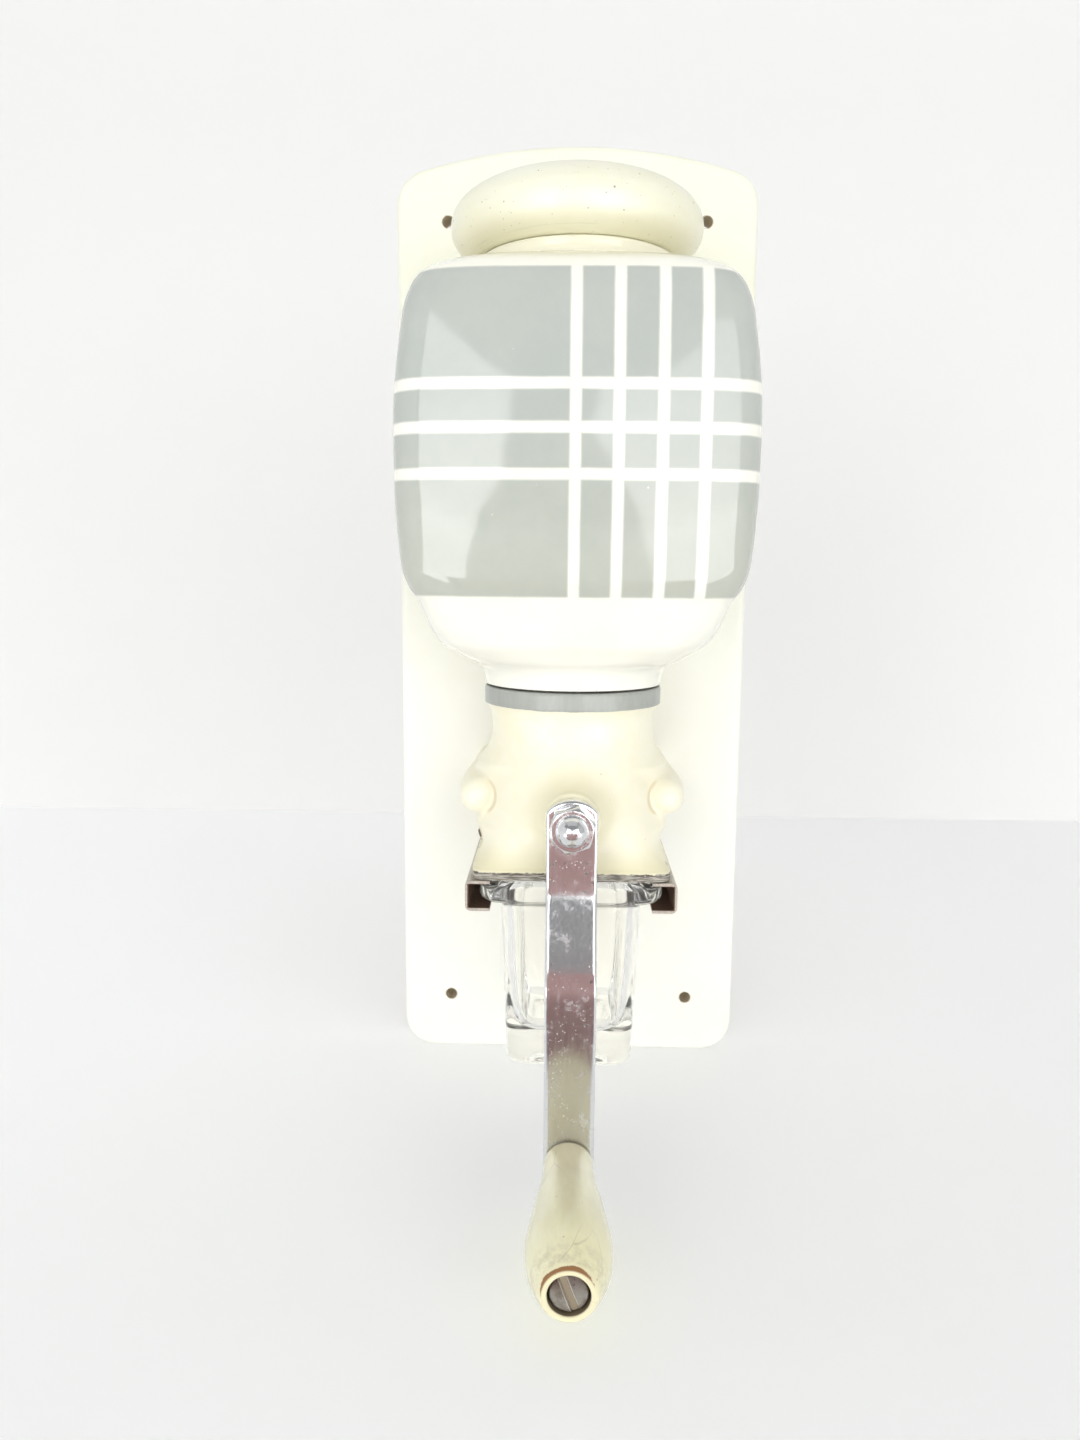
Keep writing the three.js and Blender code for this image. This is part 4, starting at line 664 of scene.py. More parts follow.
class Recipe:
    """A material under construction: its tree, its shader and the mill's coordinates in millimetres."""

    def __init__(self, name):
        self.material = bpy.data.materials.new(name)
        self.material.use_nodes = True
        self.tree = self.material.node_tree
        self.shader = self.tree.nodes["Principled BSDF"]
        source = node(self.tree, "ShaderNodeTexCoord").outputs["Object"]
        place = node(self.tree, "ShaderNodeMapping")
        fill(place, {
            "Vector": source,
            "Location": (0, -BOARD_THICKNESS, HOLE_CENTRE),
            "Scale": (1 / MM, -1 / MM, 1 / MM),
        })
        self.vector = place.outputs[0]
        parts = node(self.tree, "ShaderNodeSeparateXYZ")
        fill(parts, {0: self.vector})
        self.x, self.reach, self.height = parts.outputs

    def maths(self, operation, *values):
        """One maths node."""
        return math_of(self.tree, operation, *values)

    def plus(self, first, second):
        """The sum of two values."""
        return self.maths("ADD", first, second)

    def minus(self, first, second):
        """The first value less the second."""
        return self.maths("SUBTRACT", first, second)

    def times(self, first, *others):
        """The product of all the values."""
        for other in others:
            first = self.maths("MULTIPLY", first, other)
        return first

    def most(self, first, *others):
        """The greatest of the values."""
        for other in others:
            first = self.maths("MAXIMUM", first, other)
        return first

    def beside(self, value, centre=0.0):
        """How far a value is from a centre, either way."""
        return self.maths("ABSOLUTE", self.minus(value, centre))

    def off_axis(self, a, b, at_a=0.0, at_b=0.0):
        """Distance from a line that runs square to the two given coordinates."""
        squares = [self.maths("POWER", self.beside(value, at), 2.0) for value, at in ((a, at_a), (b, at_b))]
        return self.maths("SQRT", self.plus(*squares))

    def ramp(self, value, low, high, start=0.0, end=1.0):
        """A value brought from low to high onto start to end."""
        return ramp(self.tree, value, low, high, start, end)

    def spread(self, pattern, start=0.0, end=1.0):
        """The middle range of a noise pattern, where most of it lies, brought onto start to end."""
        return self.ramp(pattern, 0.3, 0.7, start, end)

    def mix(self, factor, first, second):
        """Two colours mixed."""
        return blend_colour(self.tree, factor, first, second)

    def mix_value(self, factor, first, second):
        """Two values mixed."""
        return blend_value(self.tree, factor, first, second)

    def times_tint(self, factor, tone, tint):
        """A colour times a tint, as far as the factor says."""
        return multiplied(self.tree, factor, tone, tint)

    def stretched(self, scale):
        """The mill's coordinates with each axis scaled."""
        return stretched(self.tree, self.vector, scale)

    def noise(self, scale, detail=3.0, roughness=0.55):
        """Noise that runs alike in all directions."""
        return noise(self.tree, self.vector, scale, detail, roughness)

    def drawn_noise(self, scales, detail=3.0, roughness=0.55):
        """Noise with its own scale along each axis, for brush marks, grain and wipes."""
        return noise(self.tree, self.stretched(scales), 1.0, detail, roughness)

    def effect(self, builder, output="Mask", **inputs):
        """One output of a shared effect, in the mill's coordinates unless a vector is given."""
        values = {"Vector": self.vector, **{key.capitalize(): value for key, value in inputs.items()}}
        return placed(self.tree, builder, values)[output]

    def clouded(self, tone, tint, scale, amount, vector=None):
        """A tone in soft clouds of itself and a tinted tone: the outputs Colour and Cloud."""
        return placed(self.tree, clouded_tone, {
            "Vector": vector or self.vector, "Scale": scale, "Amount": amount,
            "Colour": (*tone, 1), "Tint": (*tinted(tone, tint), 1),
        })

    def bump(self, height, distance_mm, strength=1.0):
        """A bump whose full height is the given distance."""
        made = node(self.tree, "ShaderNodeBump")
        return fill(made, {"Height": height, "Distance": distance_mm * MM, "Strength": strength}).outputs[0]

    def finish(self, **inputs):
        """Gives the shader its inputs and returns the material."""
        fill(self.shader, {SHADER_INPUTS[key]: value for key, value in inputs.items()})
        return self.material


SHADER_INPUTS = {
    "base": "Base Color", "metallic": "Metallic", "roughness": "Roughness", "normal": "Normal", "ior": "IOR",
    "coat": "Coat Weight", "coat_roughness": "Coat Roughness", "transmission": "Transmission Weight",
}


def darker(value, factor):
    """A colour times a factor."""
    return tuple(part * factor for part in value)


def tinted(value, tint):
    """A colour times another."""
    return tuple(part * other for part, other in zip(value, tint))


# Finishes

GLASS_TINT = (0.992, 0.989, 0.966)


def board_finish(colours):
    """Satin white-cream paint with upright brush marks, bare wood on the back and in the wall holes."""
    r = Recipe("board_paint")
    strokes = r.drawn_noise((1.1, 1.1, 0.035), 4.0)
    tone = r.clouded(colours.board_paint, (0.985, 0.975, 0.94), 0.02, 0.9)
    # Painted shade: the board's paint darkens and yellows towards its top
    painted_top_shade = r.ramp(r.height, 90, 300)
    paint = r.times_tint(painted_top_shade, tone["Colour"], (0.9, 0.905, 0.83))
    grain = r.drawn_noise((0.9, 0.9, 0.05), 5.0, 0.7)
    wood = r.mix(r.spread(grain), darker(colours.bare_wood, 0.72), colours.bare_wood)
    sizes = sizes_of("mill_board")
    from_hole = r.off_axis(r.beside(r.x), r.beside(r.height, HOLE_CENTRE),
                           sizes.hole_spacing_x / 2, sizes.hole_spacing_z / 2)
    hole = r.effect(ragged_edge, distance=from_hole, limit=sizes.hole_radius + 0.22,
                    ragged=0.9, scale=0.9, soft=0.08)
    back = r.ramp(r.reach, 0.15 - BOARD_THICKNESS, 0.05 - BOARD_THICKNESS)
    bare = r.most(hole, back)
    base = r.mix(bare, paint, r.mix(hole, wood, shade(212, 200, 176)))
    height = r.mix_value(bare, strokes, grain)
    rough = r.mix_value(bare, r.spread(tone["Cloud"], 0.34, 0.44), 0.8)
    return r.finish(base=base, roughness=rough, normal=r.bump(height, 0.05, 0.5))


def lid_finish(colours):
    """Old cream paint on turned wood: yellower low down, dirt specks, and fine lines round the edge."""
    r = Recipe("lid_paint")
    low, high = span("lid").height
    tone = r.clouded(colours.lid_paint, (0.97, 0.96, 0.88), 0.045, 0.8)
    down = r.ramp(r.height, low + 0.55 * (high - low), low + 6)
    aged = r.mix(r.times(down, 0.55), tone["Colour"], tinted(colours.lid_paint, (0.97, 0.93, 0.78)))
    dots = r.effect(specks, scale=0.42, size=0.2, share=0.3)
    crumbs = r.effect(specks, scale=1.3, size=0.34, share=0.2)
    rings = r.drawn_noise((0.05, 0.05, 1.6), 4.0)
    lines = r.ramp(r.times(rings, down), 0.56, 0.66)
    marks = r.most(r.times(dots, 0.75), r.times(crumbs, 0.35), r.times(lines, 0.1))
    base = r.mix(marks, aged, shade(128, 112, 80))
    height = r.minus(tone["Cloud"], r.times(marks, 0.5))
    return r.finish(base=base, roughness=r.spread(tone["Cloud"], 0.32, 0.5), coat=0.25, coat_roughness=0.25,
                    normal=r.bump(height, 0.12, 0.4))


def grip_finish(colours):
    """Glossy yellowed paint with cracks, worn to brown wood round the far end."""
    r = Recipe("grip_paint")
    far = span("grip").reach[1]
    along = r.stretched((1.0, 0.3, 1.0))
    tone = r.clouded(colours.grip_paint, (0.93, 0.91, 0.82), 0.09, 0.9, along)
    cracks = r.effect(hairlines, vector=along, scale=0.085, width=0.012)
    dots = r.effect(specks, scale=0.6, size=0.22, share=0.2)
    off = r.off_axis(r.x, r.height, 0.0, GRIP_HEIGHT)
    aslant = r.minus(r.height, r.times(r.x, 0.25))
    upper = r.ramp(aslant, GRIP_HEIGHT - 2.0, GRIP_HEIGHT + 7.0)
    worn = r.effect(ragged_edge, distance=r.minus(far, r.reach), limit=r.plus(-0.4, r.times(upper, 1.5)),
                    ragged=1.2, scale=0.35, soft=0.3)
    by_end = r.ramp(r.reach, far - 2.6, far - 0.1)
    cream = r.mix(r.times(by_end, 0.9), tone["Colour"], shade(238, 230, 192))
    patches = r.ramp(r.noise(0.45, 4.0, 0.65), 0.35, 0.65)
    handled = r.times(r.ramp(r.reach, far - 9, far - 4), r.ramp(r.reach, far - 1.2, far - 2.0), patches)
    cream = r.mix(r.times(handled, 0.42), cream, shade(186, 176, 146))
    marks = r.most(r.times(cracks, 0.28), r.times(dots, 0.35))
    marked = r.mix(marks, cream, shade(132, 116, 84))
    outer = r.times(worn, r.ramp(off, 6.55, 6.95))
    brown = r.mix(outer, marked, shade(150, 108, 66))
    recess = r.times(r.ramp(off, 5.5, 5.3), r.ramp(r.reach, far - 8, far - 6))
    base = r.mix(recess, brown, shade(92, 70, 50))
    bare = r.most(outer, recess)
    height = r.minus(r.times(tone["Cloud"], 0.4), r.most(marks, outer))
    return r.finish(base=base, roughness=r.mix_value(bare, 0.22, 0.7), normal=r.bump(height, 0.1, 0.5),
                    coat=r.ramp(bare, 0.0, 1.0, 0.7, 0.0), coat_roughness=0.08)


def glaze_finish(colours):
    """Glossy cream glaze with a sprayed grey band, crossed by white stripes left bare.

    The band covers the outside between two heights. Three stripes run round it and four run up its front.
    """
    r = Recipe("glaze")
    sizes = sizes_of("mill_hopper")
    soft = sizes.soft_edge
    wobble = r.times(r.minus(r.noise(0.12), 0.5), 0.35)
    height, across = r.plus(r.height, wobble), r.plus(r.x, wobble)
    band = r.times(
        r.ramp(height, sizes.band_low - soft / 2, sizes.band_low + soft / 2),
        r.ramp(height, sizes.band_high + soft / 2, sizes.band_high - soft / 2),
    )

    def stripe(value, centre):
        """A stripe beside a centre, soft at both edges."""
        return r.ramp(r.beside(value, centre), (sizes.stripe + soft) / 2, (sizes.stripe - soft) / 2)

    front = r.ramp(r.reach, MILL_REACH + 30, MILL_REACH + 31)
    round_it = [stripe(height, centre) for centre in HOPPER_STRIPE_HEIGHTS]
    up_it = [r.times(stripe(across, centre), front) for centre in HOPPER_STRIPE_PLACES]
    bare = r.most(*round_it, *up_it)
    chips = r.effect(specks, scale=0.16, size=0.13, share=0.3)
    whole = r.minus(1.0, r.times(chips, 0.8))
    grey = r.times(band, r.minus(1.0, bare), point_values(r.tree, "outside"), whole)
    white = r.clouded(colours.glaze, (0.985, 0.98, 0.95), 0.03, 0.8)
    tone = r.clouded(colours.glaze_grey, (0.93, 0.945, 0.95), 0.035, 0.9)
    low_down = r.ramp(r.height, sizes.band_high - 30, sizes.band_low)
    grey_tone = r.times_tint(low_down, tone["Colour"], (1.02, 1.0, 0.94))
    # Painted shade: the white glaze darkens and warms towards the neck under the lid
    painted_neck_shade = r.ramp(r.height, sizes.band_high + 2, sizes.band_high + 5)
    white_with_neck_shade = r.times_tint(painted_neck_shade, white["Colour"], (0.89, 0.875, 0.79))
    dots = r.effect(specks, scale=0.3, size=0.12, share=0.12)
    base = r.mix(r.times(dots, 0.5), r.mix(grey, white_with_neck_shade, grey_tone), shade(120, 112, 92))
    surface = r.plus(r.noise(0.028, 2.0), r.times(r.noise(0.5, 2.0), 0.012))
    return r.finish(base=base, roughness=0.07, ior=1.55, normal=r.bump(surface, 0.9, 0.35))


def body_finish(colours):
    """Cream enamel on a casting: grey collar, worn edge along the flange, dull paint inside, painted shade in
    its hollows.
    """
    r = Recipe("body_paint")
    sizes = sizes_of("mill_casting")
    low, high = span("mill_body").height
    tone = r.clouded(colours.body_paint, (0.985, 0.97, 0.9), 0.05, 0.9)
    off = r.off_axis(r.x, r.height, 0.0, AXIS_HEIGHT)
    # Painted shade: a darker yellow round the boss's root and just above the flange, where the casting curves
    # in
    boss_root_shade = r.times(r.ramp(off, 15.5, 10.0), r.ramp(r.reach, 76, 84))
    fillet = r.ramp(r.height, low + 12, low + 4)
    yellow = r.most(r.times(boss_root_shade, 0.45), r.times(fillet, 0.75))
    paint = r.mix(yellow, tone["Colour"], tinted(colours.body_paint, (0.88, 0.855, 0.7)))
    dots = r.effect(specks, scale=0.35, size=0.14, share=0.16)
    paint = r.mix(r.times(dots, 0.6), paint, shade(168, 128, 82))
    aside = r.beside(r.x)
    from_ear = r.off_axis(aside, r.height, EAR_X, EAR_HEIGHT)
    # Painted shade: a darker crescent round the inner side of each ear
    ear_crescent_shade = r.times(
        r.ramp(r.beside(from_ear, 6.0), 0.75, 0.15),
        r.ramp(aside, EAR_X - 2.5, EAR_X - 4.5),
        r.ramp(r.reach, EAR_REACH - 12, EAR_REACH - 8, 0.0, 0.5),
    )
    paint = r.mix(ear_crescent_shade, paint, shade(206, 184, 140))
    collar = r.effect(ragged_edge, distance=r.minus(high, r.height), limit=sizes.collar_band,
                      ragged=0.5, scale=0.2, soft=0.12)
    streaks = r.ramp(r.drawn_noise((0.6, 0.6, 0.15)), 0.35, 0.65)
    paint = r.mix(collar, paint, r.mix(streaks, darker(colours.collar_grey, 0.93), colours.collar_grey))
    worn = r.effect(ragged_edge, distance=r.minus(r.height, low), limit=sizes.worn_edge,
                    ragged=1.5, scale=0.5, soft=0.12)
    inner = point_values(r.tree, "bare")
    bare = r.most(worn, inner)
    rubs = r.ramp(r.drawn_noise((0.25, 0.25, 2.2), 4.0), 0.4, 0.62)
    rubbed = r.mix(rubs, shade(108, 102, 94), shade(186, 180, 168))
    line = r.ramp(r.beside(r.height, low + sizes.worn_edge - 0.25), 0.5, 0.2)
    broken = r.ramp(r.noise(0.35), 0.46, 0.54)
    rubbed = r.mix(r.times(line, broken), rubbed, shade(84, 76, 66))
    base = r.mix(bare, paint, r.mix(inner, rubbed, shade(190, 182, 164)))
    from_screw = r.off_axis(r.reach, r.height, SCREW_REACH, 102.2)
    near_screw = r.times(r.ramp(r.x, -26.5, -28.5), r.ramp(from_screw, 6.0, 2.8))
    rust = r.times(near_screw, r.ramp(r.noise(0.4, 4.0), 0.42, 0.55))
    base = r.mix(r.times(rust, 0.85), base, colours.rust)
    rough = r.mix_value(bare, r.spread(tone["Cloud"], 0.36, 0.46), 0.55)
    height = r.minus(r.times(tone["Cloud"], 0.05), r.times(worn, 0.8))
    return r.finish(base=base, roughness=rough, metallic=r.times(inner, 0.25), coat_roughness=0.3,
                    coat=r.ramp(bare, 0.0, 1.0, 0.2, 0.0), normal=r.bump(height, 0.2, 0.4))


def chrome_finish(colours):
    """Old chrome plate: mirror bright, with a haze of fine pits, a few larger spots and specks of dust."""
    r = Recipe("chrome")
    patches = r.ramp(r.noise(0.09), 0.42, 0.62)
    fine = r.effect(specks, scale=3.4, size=0.42, share=0.34)
    spots = r.effect(specks, scale=0.5, size=0.42, share=0.2)
    pits = r.most(r.times(fine, patches), spots)
    wipe = r.drawn_noise((1.4, 1.4, 0.12))
    haze = r.most(pits, r.ramp(r.noise(0.16, 5.0, 0.7), 0.5, 0.68))
    rough = r.plus(r.spread(wipe, 0.13, 0.2), r.times(haze, 0.2))
    base = r.mix(r.times(pits, 0.7), colours.chrome, shade(112, 106, 98))
    dust = r.effect(specks, vector=r.stretched((1.0, 1.0, 0.8)), scale=1.9, size=0.42, share=0.24)
    dust = r.times(dust, r.ramp(r.noise(0.11, 2.0), 0.4, 0.6))
    base = r.mix(dust, base, shade(226, 224, 218))
    swell = r.noise(0.07, 2.0)
    height = r.minus(r.plus(r.times(wipe, 0.06), r.times(swell, 4.0)), pits)
    return r.finish(base=base, metallic=r.ramp(dust, 0.0, 1.0, 1.0, 0.0), roughness=rough,
                    normal=r.bump(height, 0.05, 0.35))


def steel_finish(colours):
    """Plain steel that has gone dull, with brown tarnish in patches and dirt in the grip screw's slot."""
    r = Recipe("steel")
    grain = r.drawn_noise((2.4, 0.5, 2.4), 4.0)
    stain = r.ramp(r.noise(0.22, 4.0), 0.46, 0.66)
    base = r.mix(r.times(stain, 0.6), colours.steel, shade(112, 92, 70))
    face = span("grip").reach[1] - GRIP_SCREW.inset
    over = r.times(r.x, math.cos(GRIP_SCREW.lean))
    up = r.times(r.minus(r.height, GRIP_HEIGHT), math.sin(GRIP_SCREW.lean))
    across = r.beside(r.plus(over, up))
    there = r.ramp(r.reach, face - 1.4, face - 1.3)
    dirt = r.times(r.ramp(across, 1.0, 0.9), there)
    # Painted highlight: a bright thin line along each edge of the slot
    edge = r.times(r.ramp(r.beside(across, 1.14), 0.14, 0.06), there)
    base = r.mix(dirt, base, shade(160, 146, 124))
    base = r.mix(edge, base, shade(236, 233, 226))
    metal = r.ramp(dirt, 0.0, 1.0, 1.0, 0.2)
    rough = r.spread(grain, 0.26, 0.42)
    return r.finish(base=base, metallic=metal, roughness=rough, normal=r.bump(grain, 0.02, 0.4))


def rusty_finish(colours):
    """Bent sheet steel, lighter where it rubs, and brown with rust inside the rails and on the set screw."""
    r = Recipe("rusty_steel")
    large, fine = r.noise(0.28, 4.0), r.noise(1.5, 4.0, 0.7)
    patches = r.ramp(r.plus(r.times(large, 0.6), r.times(fine, 0.4)), 0.4, 0.58)
    rubbed = r.mix(r.spread(fine), shade(176, 168, 157), shade(216, 209, 198))
    rust = r.mix(r.ramp(fine, 0.35, 0.65), darker(colours.rust, 0.6), colours.rust)
    box = span("rail_right")
    low, high = box.height
    inside = r.times(
        r.ramp(r.beside(r.x), box.x[1] - 0.6, box.x[1] - 0.85),
        r.times(r.ramp(r.height, low + 0.8, low + 1.0), r.ramp(r.height, high - 0.8, high - 1.0)),
    )
    on_screw = r.ramp(r.height, high + 0.5, high + 1.0, 0.0, 0.9)
    amount = r.most(r.times(patches, 0.18), r.most(inside, on_screw))
    base = r.mix(amount, rubbed, rust)
    metal = r.ramp(amount, 0.0, 1.0, 0.4, 0.1)
    return r.finish(base=base, metallic=metal, roughness=r.mix_value(amount, 0.4, 0.85),
                    normal=r.bump(r.plus(fine, amount), 0.06, 0.6))


def iron_finish(colours):
    """Hardened iron, dark and a little oily."""
    r = Recipe("cast_iron")
    fine = r.noise(1.2, 4.0, 0.65)
    base = r.mix(r.spread(fine), darker(colours.iron, 0.55), colours.iron)
    rough = r.spread(fine, 0.42, 0.66)
    return r.finish(base=base, metallic=0.85, roughness=rough, normal=r.bump(fine, 0.08, 0.6))


def brass_finish(colours):
    """Turned brass with fine tool marks round it."""
    r = Recipe("brass")
    rings = r.drawn_noise((0.2, 5.0, 0.2))
    base = r.mix(r.spread(rings), darker(colours.brass, 0.8), colours.brass)
    rough = r.spread(rings, 0.22, 0.38)
    return r.finish(base=base, metallic=1.0, roughness=rough, normal=r.bump(rings, 0.02, 0.4))


def rubber_finish(colours):
    """Dark rubber, dusty on its edge."""
    r = Recipe("gasket_rubber")
    dust = r.noise(0.7, 4.0, 0.65)
    base = r.mix(r.ramp(dust, 0.42, 0.7), colours.rubber, shade(128, 122, 108))
    return r.finish(base=base, roughness=r.spread(dust, 0.6, 0.9), normal=r.bump(dust, 0.05, 0.5))


def glass_finish(_colours):
    """Clear pressed glass with a faint yellow-green body and slightly uneven faces."""
    r = Recipe("glass")
    surface = r.plus(r.drawn_noise((0.16, 0.16, 0.05), 2.0), r.times(r.noise(0.5, 2.0), 0.05))
    return r.finish(base=(*GLASS_TINT, 1), roughness=0.015, ior=1.32, transmission=0.96,
                    normal=r.bump(surface, 0.35, 0.3))


FINISH_MAKERS = {
    "board_paint": board_finish,
    "lid_paint": lid_finish,
    "grip_paint": grip_finish,
    "glaze": glaze_finish,
    "gasket_rubber": rubber_finish,
    "body_paint": body_finish,
    "chrome": chrome_finish,
    "steel": steel_finish,
    "rusty_steel": rusty_finish,
    "cast_iron": iron_finish,
    "brass": brass_finish,
    "glass": glass_finish,
}
MADE_FINISHES = {}


def finish_of(slot_name):
    """The material for one of the record's slots, made on first use."""
    if slot_name not in MADE_FINISHES:
        chosen = bpy.context.scene.mill_finishes
        colours = SimpleNamespace(**{key: tuple(getattr(chosen, key)) for key in chosen.__annotations__})
        MADE_FINISHES[slot_name] = FINISH_MAKERS[slot_name](colours)
    return MADE_FINISHES[slot_name]


def fit(piece, body, slot_name, *nodes):
    """Puts a new piece on its body, in its slot's finish, in the place of frame nodes."""
    piece.data.materials.clear()
    piece.data.materials.append(finish_of(slot_name))
    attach(piece, body)
    if nodes:
        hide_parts(*nodes)
    return piece


# Board


def board_outline(sizes, inset):
    """The board's outline in x and height, drawn in by inset: two feet corners and an arch.

    The arch is a circle about (0, board height - arch radius), and each corner is an arc that touches
    both of its neighbours.
    """
    half = -BOARD_LOW.x / MM - inset
    total = (BOARD_HIGH.z - BOARD_LOW.z) / MM
    arch = sizes.arch_radius - inset
    corner = sizes.corner_radius - inset
    centre = total - sizes.arch_radius
    corner_x = half - corner
    rise = math.sqrt((arch - corner) ** 2 - corner_x**2)
    turn = math.atan2(rise, corner_x)
    foot = inset + corner

    def arc(x, z, radius, start, end, count):
        """Points on an arc about (x, z), from one angle to another."""
        angle = np.linspace(start, end, count)
        return np.stack([x + radius * np.cos(angle), z + radius * np.sin(angle)], axis=-1)

    right = half * np.ones(30)
    sides = np.linspace(foot, centre + rise, 32)[1:-1]
    return np.concatenate([
        np.stack([np.linspace(-corner_x, corner_x, 22)[1:-1], inset * np.ones(20)], axis=-1),
        arc(corner_x, foot, corner, -math.pi / 2, 0, 13),
        np.stack([right, sides], axis=-1),
        arc(corner_x, centre + rise, corner, 0, turn, 11),
        arc(0, centre, arch, turn, math.pi - turn, 48)[1:-1],
        arc(-corner_x, centre + rise, corner, math.pi - turn, math.pi, 11),
        np.stack([-right, sides[::-1]], axis=-1),
        arc(-corner_x, foot, corner, math.pi, 1.5 * math.pi, 13),
    ])


def make_board():
    """The board: outlines drawn in along a quarter circle at the front and back edges."""
    sizes = sizes_of("mill_board")
    ease = np.linspace(0, math.pi / 2, 7)
    front = [(sizes.edge_radius * (1 - math.cos(a)), -sizes.edge_radius * (1 - math.sin(a))) for a in ease]
    back = [(1 - math.cos(a), 1 - math.sin(a) - BOARD_THICKNESS) for a in ease[::-1]]
    steps = [(8.0, -BOARD_THICKNESS), (1.4, -BOARD_THICKNESS), *back, *front, (2.7, 0.0), (9.0, 0.0)]
    rows = []
    for inset, reach in steps:
        outline = board_outline(sizes, inset)
        rows.append(np.insert(outline, 1, reach, axis=1))
    piece = piece_from("board", [skin(rows)])
    drill(piece, board_holes(sizes))
    return fit(piece, "mill", "board_paint", "wall_board")


def board_holes(sizes):
    """Rods for the wall holes and countersunk ones for the screws from behind."""
    behind, before = -30, 20
    rods = []
    for side in (-1, 1):
        for end in (-1, 1):
            at = (side * sizes.hole_spacing_x / 2, 0, HOLE_CENTRE + end * sizes.hole_spacing_z / 2)
            profile = [(0, behind), (sizes.hole_radius, behind), (sizes.hole_radius, before), (0, before)]
            rods.append(turned(profile, at, sides=32))
    for name in (*BODY_SCREWS, "hopper_bolt"):
        size = FLAT_SCREWS[name]
        start = span(name).reach[0]
        at_x, at_height = middle_of(name)
        head, stem = size.head + SEAT, size.stem + SEAT
        cone = [(head, start), (stem, start + size.sink)]
        profile = [(0, behind), (head, behind), *cone, (stem, before), (0, before)]
        rods.append(turned(profile, (at_x, 0, at_height), sides=40))
    return rods


def drill(piece, rods):
    """Cuts rods out of a piece with one boolean, and keeps the result as the piece's mesh."""
    cutter = piece_from("drill", rods)
    change = piece.modifiers.new("Drill", "BOOLEAN")
    change.operation = "DIFFERENCE"
    change.solver = "EXACT"
    change.object = cutter
    bpy.context.view_layer.update()
    result = bpy.data.meshes.new_from_object(piece.evaluated_get(bpy.context.evaluated_depsgraph_get()))
    piece.modifiers.clear()
    piece.data = result
    result.shade_smooth()
    result.set_sharp_from_angle(angle=math.radians(32))
    bpy.data.objects.remove(cutter)


# Hopper, gasket and lid

HOPPER_STRIPE_HEIGHTS = (240.4, 228.7, 216.2)
HOPPER_STRIPE_PLACES = (-0.5, 11.4, 23.5, 35.3)
HOPPER_NECK = 29.0  # radius of the foot, where the front starts to bulge
HOPPER_MOUTH, HOPPER_THROAT = 31.0, 27.0  # radii of the rim, outside and inside

# Height above the hopper's foot, half width, half depth and superellipse power, outside
HOPPER_SKIN = [
    (0.0, 28.0, 28.0, 2), (-0.6, 28.1, 28.1, 2), (-0.72, 28.4, 28.4, 2), (-0.6, 28.85, 28.85, 2),
    (-0.2, 29, 29, 2), (2.4, 29, 29, 2), (3.8, 29.6, 29.5, 2.1), (5.6, 30.8, 30.5, 2.3),
    (7.8, 34.3, 33.6, 2.9), (10.4, 37.5, 36.4, 3.8), (13.4, 41.3, 39.6, 4.8), (17.5, 43.7, 41.7, 5.8),
    (22.5, 45.6, 43.4, 6.6), (26.5, 47.0, 44.7, 7.2), (30, 49.4, 46.7, 7.8), (36, 51.4, 48.4, 8.4),
    (46, 52.3, 49.2, 9), (60, 52.9, 49.8, 9.5), (78, 53, 50, 9.5), (92, 52.2, 49.2, 9.5),
    (101, 51.2, 48.3, 9.3), (108, 50.3, 47.5, 9), (112.5, 49.2, 46.5, 8.6), (116, 47.8, 45.4, 8),
    (118.8, 45.9, 43.7, 7.2), (121, 43.3, 41.4, 6), (122.8, 40.0, 38.6, 4.6), (124.2, 35.5, 35.2, 3.2),
]
# The same, inside, from the top down
HOPPER_HOLLOW = [
    (125.0, 27, 27, 2), (121.5, 27.4, 27.3, 2.1), (118.5, 33, 31.8, 2.9), (113, 42, 40, 5.2),
    (104, 46.2, 43.4, 7.6), (88, 48.3, 45.3, 9), (60, 48.7, 45.6, 9), (36, 47, 44.2, 7.8),
    (24, 41.4, 39.2, 5.8), (16.5, 37.4, 35.6, 4.6), (12, 33, 31.6, 3.2), (8, 27, 26.6, 2.2),
    (5, 25.2, 25.2, 2), (0, 25, 25, 2),
]


def make_hopper():
    """The hopper: level superellipses that follow a smooth table of sizes, outside and back inside."""
    foot, top = span("bean_hopper").height
    outside = smooth_rows(HOPPER_SKIN, 96)
    tall = top - foot
    rim = rounded([
        (33.2, 124.6, 0), (31.35, 125.2, 0.5), (HOPPER_MOUTH, 126.2, 0), (HOPPER_MOUTH, tall, 1.2),
        (HOPPER_THROAT, tall, 1.2), (HOPPER_THROAT, 126.5, 0),
    ], 5)
    rim_rows = np.column_stack([rim[:, 1], rim[:, 0], rim[:, 0], np.full(len(rim), 2.0)])
    table = np.vstack([outside, rim_rows, smooth_rows(HOPPER_HOLLOW, 56)])
    bulge = 0.05 * np.clip((table[:, 1] - HOPPER_NECK) / 20, 0, 1)
    rings = level_rings(foot + table[:, 0], table[:, 1], table[:, 2], table[:, 3], bulge=bulge)
    count = len(outside) + len(rim_rows) // 2
    outer = np.repeat((np.arange(len(table)) < count).astype(float), rings.shape[1])
    piece = piece_from("hopper", [skin(rings, loop=True)], 50, {"outside": outer})
    return fit(piece, "mill", "glaze", "bean_hopper")


def make_gasket():
    """The gasket: a flat ring with rounded edges under the hopper's foot."""
    box = span("hopper_gasket")
    low, high = box.height
    inner, outer = 24.6, box.x[1] - 0.9
    corners = [(inner, low, 0.2), (outer, low, 0.35), (outer, high, 0.35), (inner, high, 0.2)]
    ring = rounded(corners, 4, closed=True)
    piece = piece_from("gasket", [turned(ring, (0, MILL_REACH, 0), (0, 0, 1), 128)])
    return fit(piece, "mill", "gasket_rubber", "hopper_gasket")


